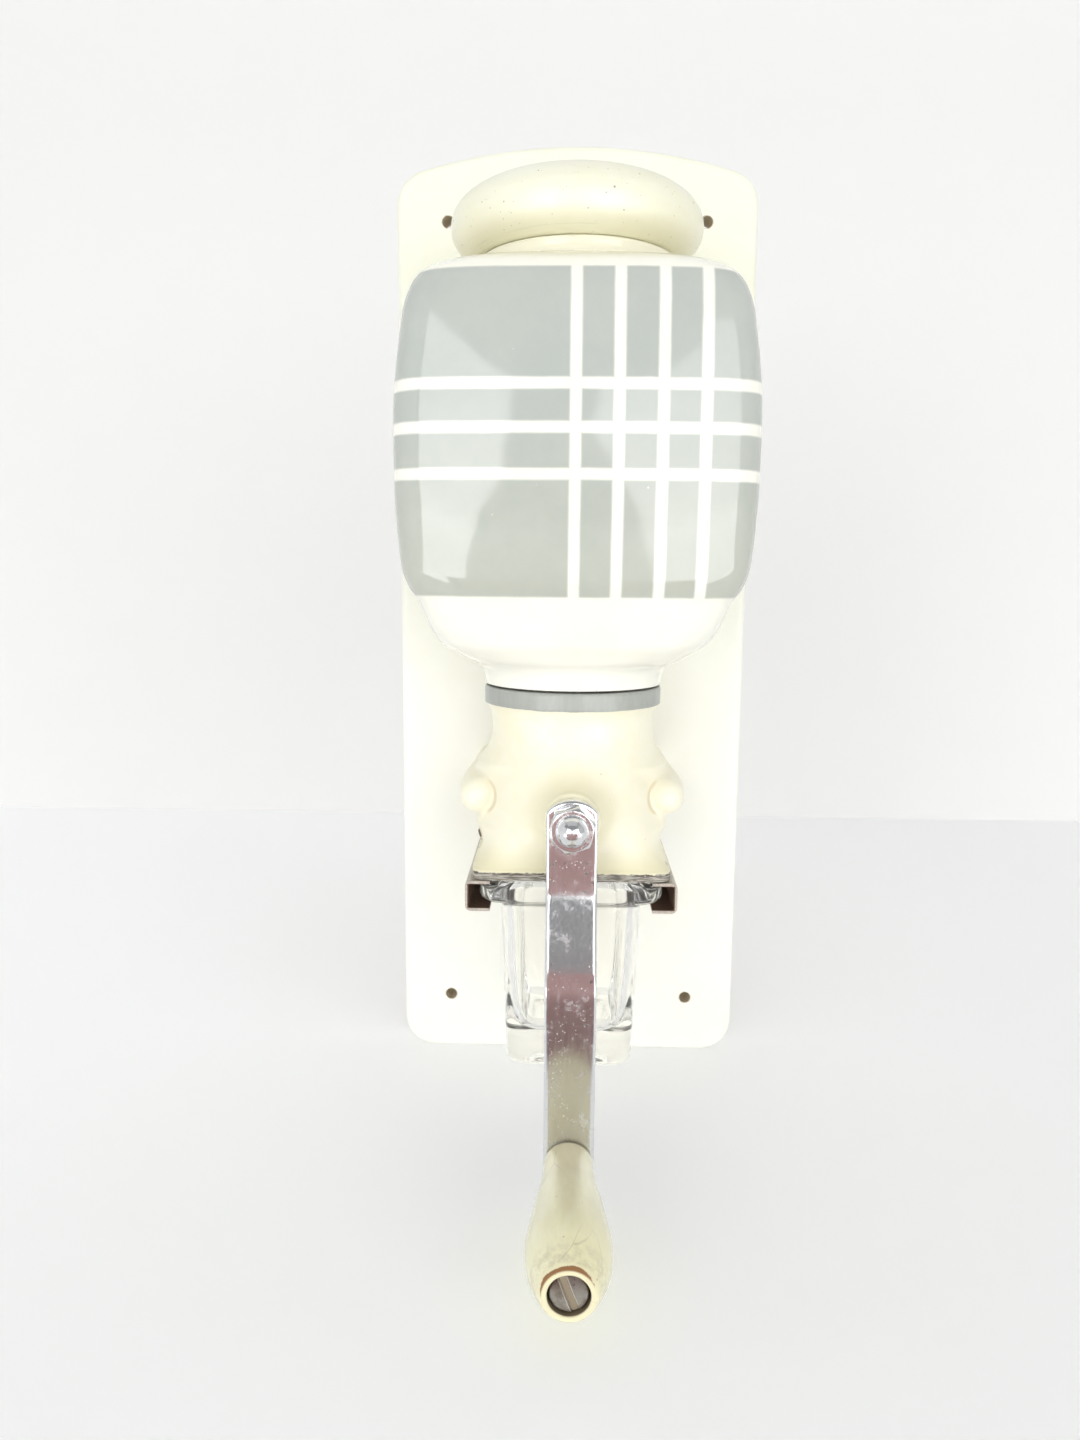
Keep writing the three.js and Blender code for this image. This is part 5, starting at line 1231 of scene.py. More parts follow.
# Radius as a share of the lid's widest, and height as a share of its dome
LID_DOME = [
    (0.79, 0.0), (0.85, 0.04), (0.915, 0.1), (0.962, 0.17), (0.99, 0.25), (1.0, 0.345), (0.99, 0.45),
    (0.95, 0.56), (0.88, 0.655), (0.775, 0.74), (0.635, 0.81), (0.46, 0.856), (0.26, 0.88), (0.1, 0.887),
    (0.0, 0.887),
]
LID_SHIFT = -0.4  # the lid sits a little to the left
SPIGOT_RADIUS, SPIGOT_LENGTH = 26.5, 6.0


def make_lid():
    """The lid: a turned bun with a flat under it and a spigot that drops into the hopper's mouth."""
    box = span("lid")
    low, high = box.height
    seat = low + SPIGOT_LENGTH
    dome = smooth_rows(LID_DOME, 64) * (box.x[1] - 0.5, high - seat) + (0, seat)
    corners = [(0, low, 0), (SPIGOT_RADIUS, low, 0.8), (SPIGOT_RADIUS, seat, 0.4), (dome[0, 0], seat, 0)]
    profile = np.vstack([rounded(corners, 5)[:-1], dome])
    piece = piece_from("lid_bun", [turned(profile, (LID_SHIFT, MILL_REACH, 0), (0, 0, 1), 144)], 50)
    return fit(piece, "lid", "lid_paint", "lid")


# Casting

# Height, half width, half depth and superellipse power of the casting's trunk
TRUNK = [
    (95.4, 30.9, 33.0, 15), (98.2, 30.9, 33.0, 15), (98.9, 30.2, 32.5, 12), (100.5, 29.2, 31.9, 8.5),
    (103.0, 28.4, 31.5, 6), (106.5, 28.3, 31.3, 4.4), (110.5, 28.6, 31.2, 3.4), (115.0, 28.8, 31.0, 2.75),
    (120.0, 28.6, 30.5, 2.35), (125.0, 28.0, 29.7, 2.15), (130.0, 27.2, 28.3, 2.05), (135.0, 26.6, 26.8, 2),
    (139.0, 26.2, 26.2, 2), (142.6, 26.4, 26.4, 2), (145.4, 27.2, 27.2, 2), (146.9, 28.2, 28.2, 2),
    (147.6, 28.8, 28.8, 2), (153.0, 28.8, 28.8, 2),
]
EAR_X, EAR_HEIGHT, EAR_REACH = 30.2, 118.8, 75.5
# Reach and radius of an ear, from the board to its dome
EAR_TAPER = ((0, 5.0), (30, 5.6), (48, 6.4), (60, 6.6), (69, 5.7))
UPPER_BOSS_HEIGHT, UPPER_BOSS_RADIUS, UPPER_BOSS_REACH = 141.0, 5.9, 40.0
# Where the screws from the board's back enter the ears and the upper boss, in x and height
SCREW_ENTRIES = ((-30.0, 117.6), (30.0, 117.6), (0, UPPER_BOSS_HEIGHT))
BOSS_RADIUS, BOSS_ROOT, BOSS_REACH = 8.8, 11.4, 96.5
# The burr ring's housing, which is open to the rear, and the chamber in front of it
RING_WALL, RING_BORE, REAR_REACH, RING_FRONT = 19.4, 16.2, 22.0, 66.0
CHAMBER_RADIUS, CHAMBER_FRONT = 11.0, 82.5
# The set screw's line: how far it drops to the left, and its reach
SCREW_DROP, SCREW_REACH = math.radians(25.5), 58.0
SCREW_SEAT = 31.8  # how far from the crank axis the set screw's head bears
SCREW_BOSS_RADIUS = 4.2
LUG_X = 20.5  # the lugs that take the rear plate's screws
RIVET_X, RIVET_REACHES = 28.6, (33.2, 78.4)
CASTING_WALL = 4.4
FUNNEL = 24.0  # the funnel's radius at the top, and the unit of its depth
# Depth down the funnel, half width, half depth and shift to the front, in that unit
FUNNEL_SHARES = ((0, 1, 1, 0), (0.14, 0.96, 0.95, 0.02), (0.46, 0.76, 0.6, 0.3), (0.74, 0.52, 0.3, 0.6))


def superellipse_field(x, y, half_width, half_depth, power):
    """Distance from an upright superellipse, nearly: the point's radius times (1 - 1 / its level)."""
    level = (np.abs(x / half_width) ** power + np.abs(y / half_depth) ** power) ** (1 / power)
    level = np.maximum(level, 1e-3)
    return np.hypot(x, y) * (1 - 1 / level)


def trunk_field(x, reach, height, inset=0.0):
    """The casting's trunk, with its sizes read off the table at each height."""
    curve = smooth_rows(TRUNK, 400)
    half_width, half_depth, power = (np.interp(height, curve[:, 0], curve[:, column]) for column in (1, 2, 3))
    return superellipse_field(x, reach - MILL_REACH, half_width - inset, half_depth - inset, power)


def domed_rod_field(across, up, reach, radius, dome, end):
    """A rod from the board, at the given distances from its axis, that ends in a dome."""
    along = np.maximum(reach - (end - dome), 0)
    return np.maximum(np.sqrt(across**2 + up**2 + along**2) - radius, SEAT - reach)


def ear_field(x, reach, height):
    """Both ears: rods that swell and narrow towards the front."""
    reaches, radii = np.array(EAR_TAPER, float).T
    radius = np.interp(reach, reaches, radii)
    return domed_rod_field(np.abs(x) - EAR_X, height - EAR_HEIGHT, reach, radius, radii[-1], EAR_REACH)


def screw_line(x, reach, height):
    """Distance along the set screw's line, which runs down to the left, level with it, and from it."""
    up = height - AXIS_HEIGHT
    along = -x * math.cos(SCREW_DROP) - up * math.sin(SCREW_DROP)
    across = -x * math.sin(SCREW_DROP) + up * math.cos(SCREW_DROP)
    return along, across, np.hypot(across, reach - SCREW_REACH)


def casting_outside(x, reach, height):
    """Trunk, ears, bosses and rear rim, run together with fillets."""
    sizes = sizes_of("mill_casting")
    low, high = span("mill_body").height
    off = np.hypot(x, height - AXIS_HEIGHT)
    trunk = trunk_field(x, reach, height)
    trunk = -join_soft(-trunk, -(height - high), 1.0)
    trunk = -join_soft(-trunk, -(low - height), 0.8)
    ear = ear_field(x, reach, height)
    above = 0.9 * np.clip((height - EAR_HEIGHT - 0.5) / 9, 0, 1) ** 2
    below = 0.8 * np.clip((EAR_HEIGHT - 1.5 - height) / 8, 0, 1) ** 2
    shape = join_soft(trunk, ear, 1.0 + (sizes.ear_blend - 1.0) * (above + below))
    root = BOSS_RADIUS + (BOSS_ROOT - BOSS_RADIUS) * np.clip((92 - reach) / 8, 0, 1)
    boss = -join_soft(-(off - root), BOSS_REACH - reach, 0.9)
    shape = join_soft(shape, np.maximum(boss, MILL_REACH - reach), sizes.boss_blend)
    along, _, aside = screw_line(x, reach, height)
    shape = join_soft(shape, rod_field(along, aside, SCREW_BOSS_RADIUS, 16, SCREW_SEAT), 2.6)
    rim = rod_field(reach, off, RING_WALL, REAR_REACH - 8, RING_FRONT)
    from_lug = np.hypot(np.abs(x) - LUG_X, height - AXIS_HEIGHT)
    lugs = rod_field(reach, from_lug, 3.3, REAR_REACH - 8, REAR_REACH + 10)
    shape = join_soft(shape, np.minimum(rim, lugs), 1.2)
    behind = box_field((x, reach, height), (-31.5, -40, low - 9), (31.5, REAR_REACH, AXIS_HEIGHT + RING_WALL))
    shape = cut_soft(shape, behind, 0.6)
    radius = UPPER_BOSS_RADIUS
    upper = domed_rod_field(x, height - UPPER_BOSS_HEIGHT, reach, radius, radius, UPPER_BOSS_REACH)
    return np.minimum(shape, np.minimum(ear, upper))


def casting_inside(x, reach, height):
    """Everything hollow: funnel, feed slot, ring bore, chamber, outlet, lower hollow and the holes."""
    low, high = span("mill_body").height
    place = (x, reach, height)
    off = np.hypot(x, height - AXIS_HEIGHT)
    shares = np.array(FUNNEL_SHARES)
    down = np.clip((high - height) / FUNNEL, 0, 1.2)
    wide, deep, shift = (FUNNEL * np.interp(down, shares[:, 0], shares[:, column]) for column in (1, 2, 3))
    funnel = superellipse_field(x, reach - MILL_REACH - shift, wide, deep, 2)
    funnel = np.maximum(funnel, high - FUNNEL * shares[-1, 0] - height)
    feed = box_field(place, (-9, 67.5, AXIS_HEIGHT), (9, 77, high - 15))
    bore = rod_field(reach, off, RING_BORE, REAR_REACH - 6, RING_FRONT)
    chamber = rod_field(reach, off, CHAMBER_RADIUS, RING_FRONT - 3, 99)
    chamber = -join_soft(-chamber, CHAMBER_FRONT - reach, 6)
    bush = rod_field(reach, off, 6.2, CHAMBER_FRONT - 3, BOSS_REACH + 6)
    outlet = box_field(place, (-14, 33, low - 6), (14, 49.6, AXIS_HEIGHT))
    along, _, aside = screw_line(x, reach, height)
    walls = [
        rod_field(reach, off, RING_WALL, 0, RING_FRONT + 3.2),
        rod_field(reach, off, 14.2, 60, 120),
        box_field(place, (-12.2, 64.3, AXIS_HEIGHT), (12.2, 100, high)),
        rod_field(along, aside, SCREW_BOSS_RADIUS, 0, SCREW_SEAT),
        ear_field(x, reach, height),
        REAR_REACH + 3 - reach,
    ]
    below_funnel = high - 26
    hollow = trunk_field(x, reach, np.clip(height, low + 8, below_funnel), CASTING_WALL)
    hollow = np.maximum(hollow, height - below_funnel)
    hollow = cut_soft(hollow, np.minimum.reduce(np.broadcast_arrays(*walls)), 1.0)
    spaces = [funnel, feed, bore, chamber, bush, outlet, hollow]
    spaces += [np.maximum(aside - 2.2, -along), np.maximum(aside - 2.8, SCREW_SEAT - along)]
    for at_x, at_height in SCREW_ENTRIES:
        spaces.append(np.maximum(np.hypot(x - at_x, height - at_height) - 2.2, reach - 15.2))
    spaces.append(np.maximum(np.hypot(np.abs(x) - LUG_X, height - AXIS_HEIGHT) - 1.7, reach - 28.2))
    for at_reach in RIVET_REACHES:
        spaces.append(np.maximum(np.hypot(np.abs(x) - RIVET_X, reach - at_reach) - 1.4, height - 98.9))
    return np.minimum.reduce(np.broadcast_arrays(*spaces))


def make_casting():
    """The cast body, as the skin of its field. Points on the hollows are marked bare."""
    box = span("mill_body")
    step = sizes_of("mill_casting").grid

    def whole(x, reach, height):
        """The outside without the hollows."""
        return cut_soft(casting_outside(x, reach, height), casting_inside(x, reach, height), 0.5)

    margin = 2 * step
    wide = max(box.x[1], EAR_X + max(radius for reach, radius in EAR_TAPER)) + margin
    low = (-wide, box.reach[0] - margin, box.height[0] - margin)
    high = (wide, box.reach[1] + margin, box.height[1] + margin)
    points, faces = carved(whole, low, high, step)
    depth = casting_outside(*points.T)
    bare = np.clip((-depth - 0.45) / 0.3, 0, 1)
    piece = piece_from("casting", [(points, faces)], 70, {"bare": bare})
    return fit(piece, "mill", "body_paint", "mill_body")


# Rails


def make_rail(side):
    """A rail: a bent C of sheet steel carried straight out, with a turned-up stop at its rear end."""
    name = "rail_right" if side > 0 else "rail_left"
    box = span(name)
    inner, outer = sorted(abs(value) for value in box.x)
    low, high = box.height
    start, end = box.reach
    sheet, bend = 1.0, 1.7
    inside = bend - sheet
    corners = [
        (inner, low, 0.3), (outer, low, bend), (outer, high, bend), (inner, high, 0.3),
        (inner, high - sheet, 0.3), (outer - sheet, high - sheet, inside),
        (outer - sheet, low + sheet, inside), (inner, low + sheet, 0.3),
    ]
    outline = resampled(rounded(corners, 5, closed=True), 1.2, closed=True)
    towards = outline.mean(axis=0) - outline
    towards /= np.linalg.norm(towards, axis=1)[:, None]
    between = np.linspace(start + 0.5, end - 0.5, 24)
    reaches = np.concatenate([[start, start + 0.15], between, [end - 0.15, end]])
    drawn_in = np.zeros(len(reaches))
    drawn_in[[0, -1]] = 0.06

    def upright(section, reach):
        """A section in x and height, stood at a reach on the rail's side."""
        return np.column_stack([side * section[:, 0], np.full(len(section), reach), section[:, 1]])

    channel = [upright(outline + ease * towards, reach) for reach, ease in zip(reaches, drawn_in)]
    foot, head, back = low + 0.5, high - 0.5, outer - 0.5
    corners = [(inner, foot, 0.8), (back, foot, 0.3), (back, head, 0.3), (inner, head, 0.8)]
    stop = rounded(corners, 4, closed=True)
    stop_rows = [upright(stop, reach) for reach in (start + 0.02, start + sheet)]
    piece = piece_from("bent_" + name, [skin_with_flat_ends(channel), skin(stop_rows)], 40)
    return fit(piece, "mill", "rusty_steel", name)


def skin_with_flat_ends(rows):
    """A closed skin through rows whose end outlines are not star shaped, closed by filled polygons."""
    rows = np.asarray(rows, float)
    points, (walls, _fans) = skin(rows)
    count, sides = rows.shape[:2]
    ends = []
    for start, sign in ((0, -1), ((count - 1) * sides, 1)):
        loop = [Vector(point) for point in points[start:start + sides]]
        triangles = np.array([list(face) for face in tessellate_polygon([loop])]) + start
        ends.append(facing(points, triangles, sign))
    return points[: count * sides], [walls, *ends]


def facing(points, triangles, sign):
    """Triangles turned so that they face along reach with the given sign."""
    a, b, c = (points[triangles[:, i]] for i in range(3))
    wrong = np.cross(b - a, c - a)[:, 1] * sign < 0
    triangles = triangles.copy()
    triangles[wrong] = triangles[wrong][:, ::-1]
    return triangles


# Cup

# Height as a share of the cup's, spread from the cup's side to its rim, taper left, extra inset
CUP_SKIN = [
    (0.0, 0.0, 1.0, 2.6), (0.006, 0.0, 1.0, 1.4), (0.02, 0.0, 1.0, 0.5), (0.04, 0.0, 0.98, 0.1),
    (0.07, 0.0, 0.95, 0.0), (0.3, 0.0, 0.72, 0.0), (0.6, 0.0, 0.4, 0.0), (0.82, 0.0, 0.12, 0.0),
    (0.868, 0.04, 0.04, 0.0), (0.885, 0.2, 0.0, 0.0), (0.897, 0.5, 0.0, 0.0), (0.91, 0.78, 0.0, 0.0),
    (0.928, 0.95, 0.0, 0.0), (0.95, 1.0, 0.0, 0.0), (0.975, 0.99, 0.0, 0.0), (0.993, 0.93, 0.0, 0.0),
    (1.0, 0.8, 0.0, 0.0),
]


def make_cup():
    """The cup: level superellipses outside, and back down inside to a dished floor with thick corners."""
    sizes = sizes_of("mill_cup")
    box = span("catch_glass")
    foot, top = box.height
    tall = top - foot
    reach = sum(box.reach) / 2
    side_x = box.x[1] - sizes.rim_lip
    side_y = (box.reach[1] - box.reach[0]) / 2 - sizes.rim_lip
    share_up, spread, taper, inset = smooth_rows(CUP_SKIN, 78).T
    grow = sizes.rim_lip * spread - sizes.taper * taper - inset
    outside = level_rings(foot + tall * share_up, side_x + grow, side_y + grow, 7.5, reach, 200)
    floor = foot + sizes.floor
    up, wider, power = smooth_rows([
        (top - 0.1, 0.4, 5.6), (top - 0.7, 0.0, 5.6), (top - 6, -0.1, 5.6), (foot + 0.5 * tall, -0.9, 5.4),
        (floor + 9, -1.7, 5.0), (floor + 4, -2.6, 4.4), (floor + 1.4, -4.8, 4.0), (floor + 0.3, -8.0, 3.6),
        (floor, -12.0, 3.0),
    ], 52).T
    wall = sizes.wall
    inside = level_rings(up, side_x - wall + wider, side_y - wall + wider, power, reach, 200)
    rise, power = [0.9, 0.8, 0.25, 0.0], [2.5, 3.2, 5.5, 6.5]
    half_x, half_y = ([6, 13, side - 7.4, side - 6.2] for side in (side_x, side_y))
    under = level_rings(foot + np.array(rise), half_x, half_y, power, reach, 200)
    piece = piece_from("cup", [skin(np.concatenate([under, outside, inside]))], 60)
    piece.visible_shadow = False
    return fit(piece, "catch_glass", "glass", "catch_glass")


# Crank

ARM_HALF, ARM_THICKNESS = 7.5, 4.0
ARM_SMOOTH = 44  # angle in degrees up to which the arm's faces shade smoothly


def arm_path(sizes):
    """The arm's middle line in reach and height, from its top down, with both bends on arcs."""
    box = span("crank_arm")
    rear, front = box.reach[0] + ARM_THICKNESS / 2, box.reach[1] - ARM_THICKNESS / 2
    low, high = box.height
    bends = [(rear, AXIS_HEIGHT - 20, sizes.bend_radius), (front, AXIS_HEIGHT - 45, sizes.bend_radius)]
    return resampled(rounded([(rear, high, 0), *bends, (front, low, 0)], 12), 1.0)


def make_arm():
    """The arm: a strip with eased edges, laid along its bent middle line.

    At distance s along the line the half width is the lesser of the strip's and of the end arc's. A point
    e inside the outline falls back from the flat by depth * (1 - sqrt(1 - (1 - e / width)^2)).
    """
    sizes = sizes_of("mill_crank")
    line = arm_path(sizes)
    steps = np.linalg.norm(np.diff(line, axis=0), axis=1)
    distance = np.concatenate([[0], np.cumsum(steps)])
    total = distance[-1]
    ends = 1 - np.cos(np.linspace(0, math.pi / 2, 22))
    s = np.concatenate([ends * 5, np.linspace(5, total - 7.5, 110)[1:-1], total - ends[::-1] * 7.5])
    middle = np.stack([np.interp(s, distance, line[:, column]) for column in (0, 1)], axis=-1)
    heading = np.gradient(middle, axis=0)
    heading /= np.linalg.norm(heading, axis=1)[:, None]
    forward = np.stack([-heading[:, 1], heading[:, 0]], axis=-1)
    arcs = ((s, sizes.arm_end_radius), (total - s, ARM_HALF))
    width = np.full(len(s), ARM_HALF)
    for from_end, radius in arcs:
        arc = np.sqrt(np.maximum(radius**2 - (radius - from_end) ** 2, 0))
        width = np.where(from_end < radius, np.minimum(width, arc), width)
    x = width[:, None] * np.sin(np.linspace(-math.pi / 2, math.pi / 2, 41))
    inside = width[:, None] - np.abs(x)
    for from_end, radius in arcs:
        from_arc = radius - np.hypot(x, (radius - from_end)[:, None])
        inside = np.where(from_end[:, None] < radius, np.minimum(ARM_HALF - np.abs(x), from_arc), inside)
    inside = np.maximum(inside, 0)

    def fall(depth, reach_in):
        """How far the face falls back near the outline."""
        part = np.clip(1 - inside / reach_in, 0, 1)
        return depth * (1 - np.sqrt(1 - part**2))

    def face(offset):
        """The strip's points at an offset from its middle line."""
        place = middle[:, None] + forward[:, None] * offset[:, :, None]
        return np.stack([x, place[:, :, 0], place[:, :, 1]], axis=-1)

    front = face(ARM_THICKNESS / 2 - fall(sizes.edge_depth, sizes.edge_width))
    back = face(fall(0.5, 0.6) - ARM_THICKNESS / 2)
    piece = piece_from("arm", [skin(np.concatenate([front, back[:, ::-1]], axis=1))], ARM_SMOOTH)
    weld(piece)
    return fit(piece, "crank", "chrome", "crank_arm")


def weld(piece):
    """Merges points that lie on each other, as at the tip of a rounded end."""
    work = bmesh.new()
    work.from_mesh(piece.data)
    bmesh.ops.remove_doubles(work, verts=work.verts, dist=2e-6)
    bmesh.ops.dissolve_degenerate(work, edges=work.edges, dist=1e-6)
    work.to_mesh(piece.data)
    work.free()
    piece.data.shade_smooth()
    piece.data.set_sharp_from_angle(angle=math.radians(ARM_SMOOTH))


def hexagon_radius(angle, apothem, softness=46):
    """Distance to a hexagon's edge at each angle, with its corners a little rounded.

    The sum over the six faces of max(cos, 0) to a high power, taken to the inverse power.
    """
    faces = np.arange(6)[:, None] * math.pi / 3
    level = (np.maximum(np.cos(angle - faces), 0) ** softness).sum(axis=0) ** (1 / softness)
    return apothem / level


def make_cap_nut():
    """The cap nut: a hexagon whose front corners are turned off by a cone, and a dome on a small step."""
    sizes = sizes_of("mill_crank")
    rear, end = span("cap_nut").reach
    apothem, dome = sizes.nut_across_flats / 2, sizes.nut_dome_radius
    angle = np.linspace(0, FULL_TURN, 360, endpoint=False)
    turn = math.radians(14) + math.pi / 6
    hexagon = hexagon_radius(angle, apothem)
    face = end - dome
    flat = apothem * 0.95
    slope = math.tan(math.radians(30))
    chamfer = face - (hexagon - flat) * slope
    edge = rear + 0.25
    rows = [(4.4, rear), (hexagon * 0.93, rear), (hexagon - 0.25, rear)]
    rows += [(hexagon - 0.07, rear + 0.07), (hexagon, edge)]
    rows += [(hexagon, edge + (chamfer - 0.35 - edge) * t) for t in (0.1, 0.5, 0.9, 1.0)]
    rows += [(hexagon - 0.03, chamfer - 0.14), (hexagon - 0.16, chamfer + 0.03)]
    cone = hexagon - 0.2 - flat
    rows += [(flat + cone * t, face - cone * t * slope) for t in (0.9, 0.5, 0.12)]
    rows += [(flat - 0.15, face), (flat - 0.5, face)]
    rows += [(dome + 0.45, face), (dome + 0.22, face + 0.04), (dome + 0.06, face + 0.2)]
    lift = np.linspace(0.06, math.pi / 2 - 0.04, 22)
    rows += [(dome * math.cos(a), face + dome * math.sin(a)) for a in lift]
    wheel = (np.sin(angle + turn), np.cos(angle + turn))
    grid = np.array([
        np.stack(np.broadcast_arrays(radius * wheel[0], reach, AXIS_HEIGHT + radius * wheel[1]), axis=-1)
        for radius, reach in rows
    ])
    shell = skin(grid, first=(0, rear, AXIS_HEIGHT), last=(0, end, AXIS_HEIGHT))
    piece = piece_from("domed_nut", [shell], 34)
    return fit(piece, "crank", "chrome", "cap_nut")


# Distance along the grip and its radius
GRIP_SWELL = [
    (-0.5, 6.75), (-0.35, 7.1), (0.0, 7.3), (0.5, 7.36), (4, 7.5), (10, 7.9), (20, 9.35), (30, 10.6),
    (36, 11.2), (40, 11.4), (44, 11.1), (48, 10.3), (52, 8.9), (54.6, 7.7), (55.6, 7.15), (56, 6.7),
]


def make_grip():
    """The grip: a turned pear shape with a recess for its screw."""
    start, end = span("grip").reach
    swell = smooth_rows(GRIP_SWELL, 84)
    outside = np.column_stack([swell[:, 1], start + swell[:, 0]])
    collar = span("grip_washer").x[1] + 0.3
    wide, bore, floor = 5.35, 2.6, end - 3.6
    recess = rounded([
        (outside[-1, 0], end, 0), (wide, end, 0.5), (wide, floor, 0.3), (bore, floor, 0), (bore, start, 0),
        (collar, start, 0), (collar, start - 0.5, 0),
    ], 5)
    profile = np.vstack([outside, recess[1:]])
    piece = piece_from("grip_pear", [turned(profile, (0, 0, GRIP_HEIGHT), sides=144)], 40)
    return fit(piece, "grip", "grip_paint", "grip")


# Screws

BODY_SCREWS = ("body_screw_left", "body_screw_right", "body_screw_top")
BOARD_SCREW = SimpleNamespace(head=4.0, stem=2.0, sink=2.3, slot=1.0, slot_depth=1.1)
HOPPER_SCREW = SimpleNamespace(head=5.0, stem=2.5, sink=2.8, slot=1.2, slot_depth=1.3)
FLAT_SCREWS = {"hopper_bolt": HOPPER_SCREW, **{name: BOARD_SCREW for name in BODY_SCREWS}}
# The grip's screw: how far its face lies inside the grip's end, and how far its slot leans
GRIP_SCREW = SimpleNamespace(inset=0.5, lean=math.radians(21), head=5.0, stem=2.4, slot=2.1, slot_depth=1.2)


def slotted(name, field, low, high, step, body, slot_name):
    """A screw as the skin of its field, in the place of the node of that name."""
    piece = piece_from(name + "_slotted", [carved(field, low, high, step)], 50)
    return fit(piece, body, slot_name, name)


def make_flat_screws():
    """The countersunk screws from the board's back: a cone, a stem and a slot across the head."""
    for name, size in FLAT_SCREWS.items():
        start, end = span(name).reach
        at_x, at_height = middle_of(name)

        def field(x, reach, height):
            """A cone that runs into a rod, cut off at both ends, without the slot."""
            off = np.hypot(x - at_x, height - at_height)
            cone = size.head - np.clip((reach - start) / size.sink, 0, 1) * (size.head - size.stem)
            rod = -join_soft(-(off - cone) * 0.8, -(start - reach), 0.3)
            rod = -join_soft(-rod, -(reach - end), 1.0)
            slot = np.maximum(np.abs(height - at_height) - size.slot / 2, reach - start - size.slot_depth)
            return cut_soft(rod, slot, 0.15)

        room = size.head + 0.6
        low = (at_x - room, start - 0.6, at_height - room)
        high = (at_x + room, end + 0.6, at_height + room)
        slotted(name, field, low, high, 0.28, "mill", "steel")


def make_grip_screw():
    """The grip's screw: a low domed head with a wide slot, worn round at its edge."""
    size = GRIP_SCREW
    start, face = span("grip_screw").reach[0], span("grip").reach[1] - size.inset

    def field(x, reach, height):
        """A head under a parabola of its radius and a stem behind it, without the slot."""
        up = height - GRIP_HEIGHT
        off = np.hypot(x, up)
        crown = face - 0.5 * (off / size.head) ** 2
        head = -join_soft(-np.maximum(off - size.head, face - 2.6 - reach), -(reach - crown), 0.7)
        stem = np.maximum(off - size.stem, start - reach)
        across = np.abs(x * math.cos(size.lean) + up * math.sin(size.lean))
        slot = np.maximum(across - size.slot / 2, face - size.slot_depth - reach)
        return cut_soft(np.minimum(head, np.maximum(stem, reach - face + 2.0)), slot, 0.25)

    room = size.head + 0.6
    low = (-room, start - 0.5, GRIP_HEIGHT - room)
    high = (room, face + 0.5, GRIP_HEIGHT + room)
    slotted("grip_screw", field, low, high, 0.2, "crank", "steel")


def make_set_screw():
    """The set screw that holds the burr ring, low on the casting's left."""

    def field(x, reach, height):
        """A flat head above its seat and a stem below it, without the slot."""
        along, across, aside = screw_line(x, reach, height)
        above = along - SCREW_SEAT
        head = -join_soft(-np.maximum(aside - 2.6, SEAT - above), -(above - 1.4), 0.5)
        stem = np.maximum(np.maximum(aside - 2.0, 16.2 - along), above - 0.8)
        slot = np.maximum(np.abs(across) - 0.4, 0.7 - above)
        return cut_soft(np.minimum(head, stem), slot, 0.15)

    box = span("ring_set_screw")
    low = (box.x[0] - 0.6, box.reach[0] - 0.6, box.height[0] - 0.6)
    high = (box.x[1] + 0.6, box.reach[1] + 0.6, box.height[1] + 0.6)
    slotted("ring_set_screw", field, low, high, 0.22, "mill", "rusty_steel")


# Node, finish, radius of the bore and rounding of the edges
RINGS = (
    ("hopper_spacer", "gasket_rubber", 2.7, 0.6),
    ("thrust_washer", "steel", 4.15, 0.15),
    ("grip_washer", "steel", 2.55, 0.2),
)


def make_rings():
    """The turned rings between pieces: spacer, thrust washer and grip washer."""
    for name, slot_name, bore, ease in RINGS:
        box = span(name)
        start, end = box.reach
        outer = (box.x[1] - box.x[0]) / 2
        corners = [(bore, start, ease / 2), (outer, start, ease), (outer, end, ease), (bore, end, ease / 2)]
        ring = turned(rounded(corners, 4, closed=True), (0, 0, middle_of(name)[1]), sides=72)
        fit(piece_from(name + "_ring", [ring]), body_of_node(name), slot_name, name)


def body_of_node(name):
    """The body that a frame node belongs to."""
    return frame["nodes"][name]["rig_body"]


# The stage


def studio_world(settings):
    """Soft light from all round, brighter from the sides, and a plain near-white to camera and glass."""
    world = bpy.data.worlds.new("Studio")
    bpy.context.scene.world = world
    world.use_nodes = True
    tree = world.node_tree
    light = tree.nodes["Background"]
    source = node(tree, "ShaderNodeTexCoord").outputs["Generated"]
    parts = fill(node(tree, "ShaderNodeSeparateXYZ"), {0: source})
    left = ramp(tree, parts.outputs[0], -0.4, -0.85, 0.32, 0.9)
    right = ramp(tree, parts.outputs[0], 0.4, 0.85, 0.32, 0.62)
    level = math_of(tree, "MULTIPLY", math_of(tree, "MAXIMUM", left, right), settings.room_light)
    room = fill(node(tree, "ShaderNodeCombineColor"), {0: level, 1: level, 2: level})
    path = node(tree, "ShaderNodeLightPath")
    seen = math_of(tree, "MAXIMUM", path.outputs["Is Camera Ray"], path.outputs["Is Transmission Ray"])
    fill(light, {"Color": blend_colour(tree, seen, room.outputs[0], (0.93, 0.94, 0.945))})


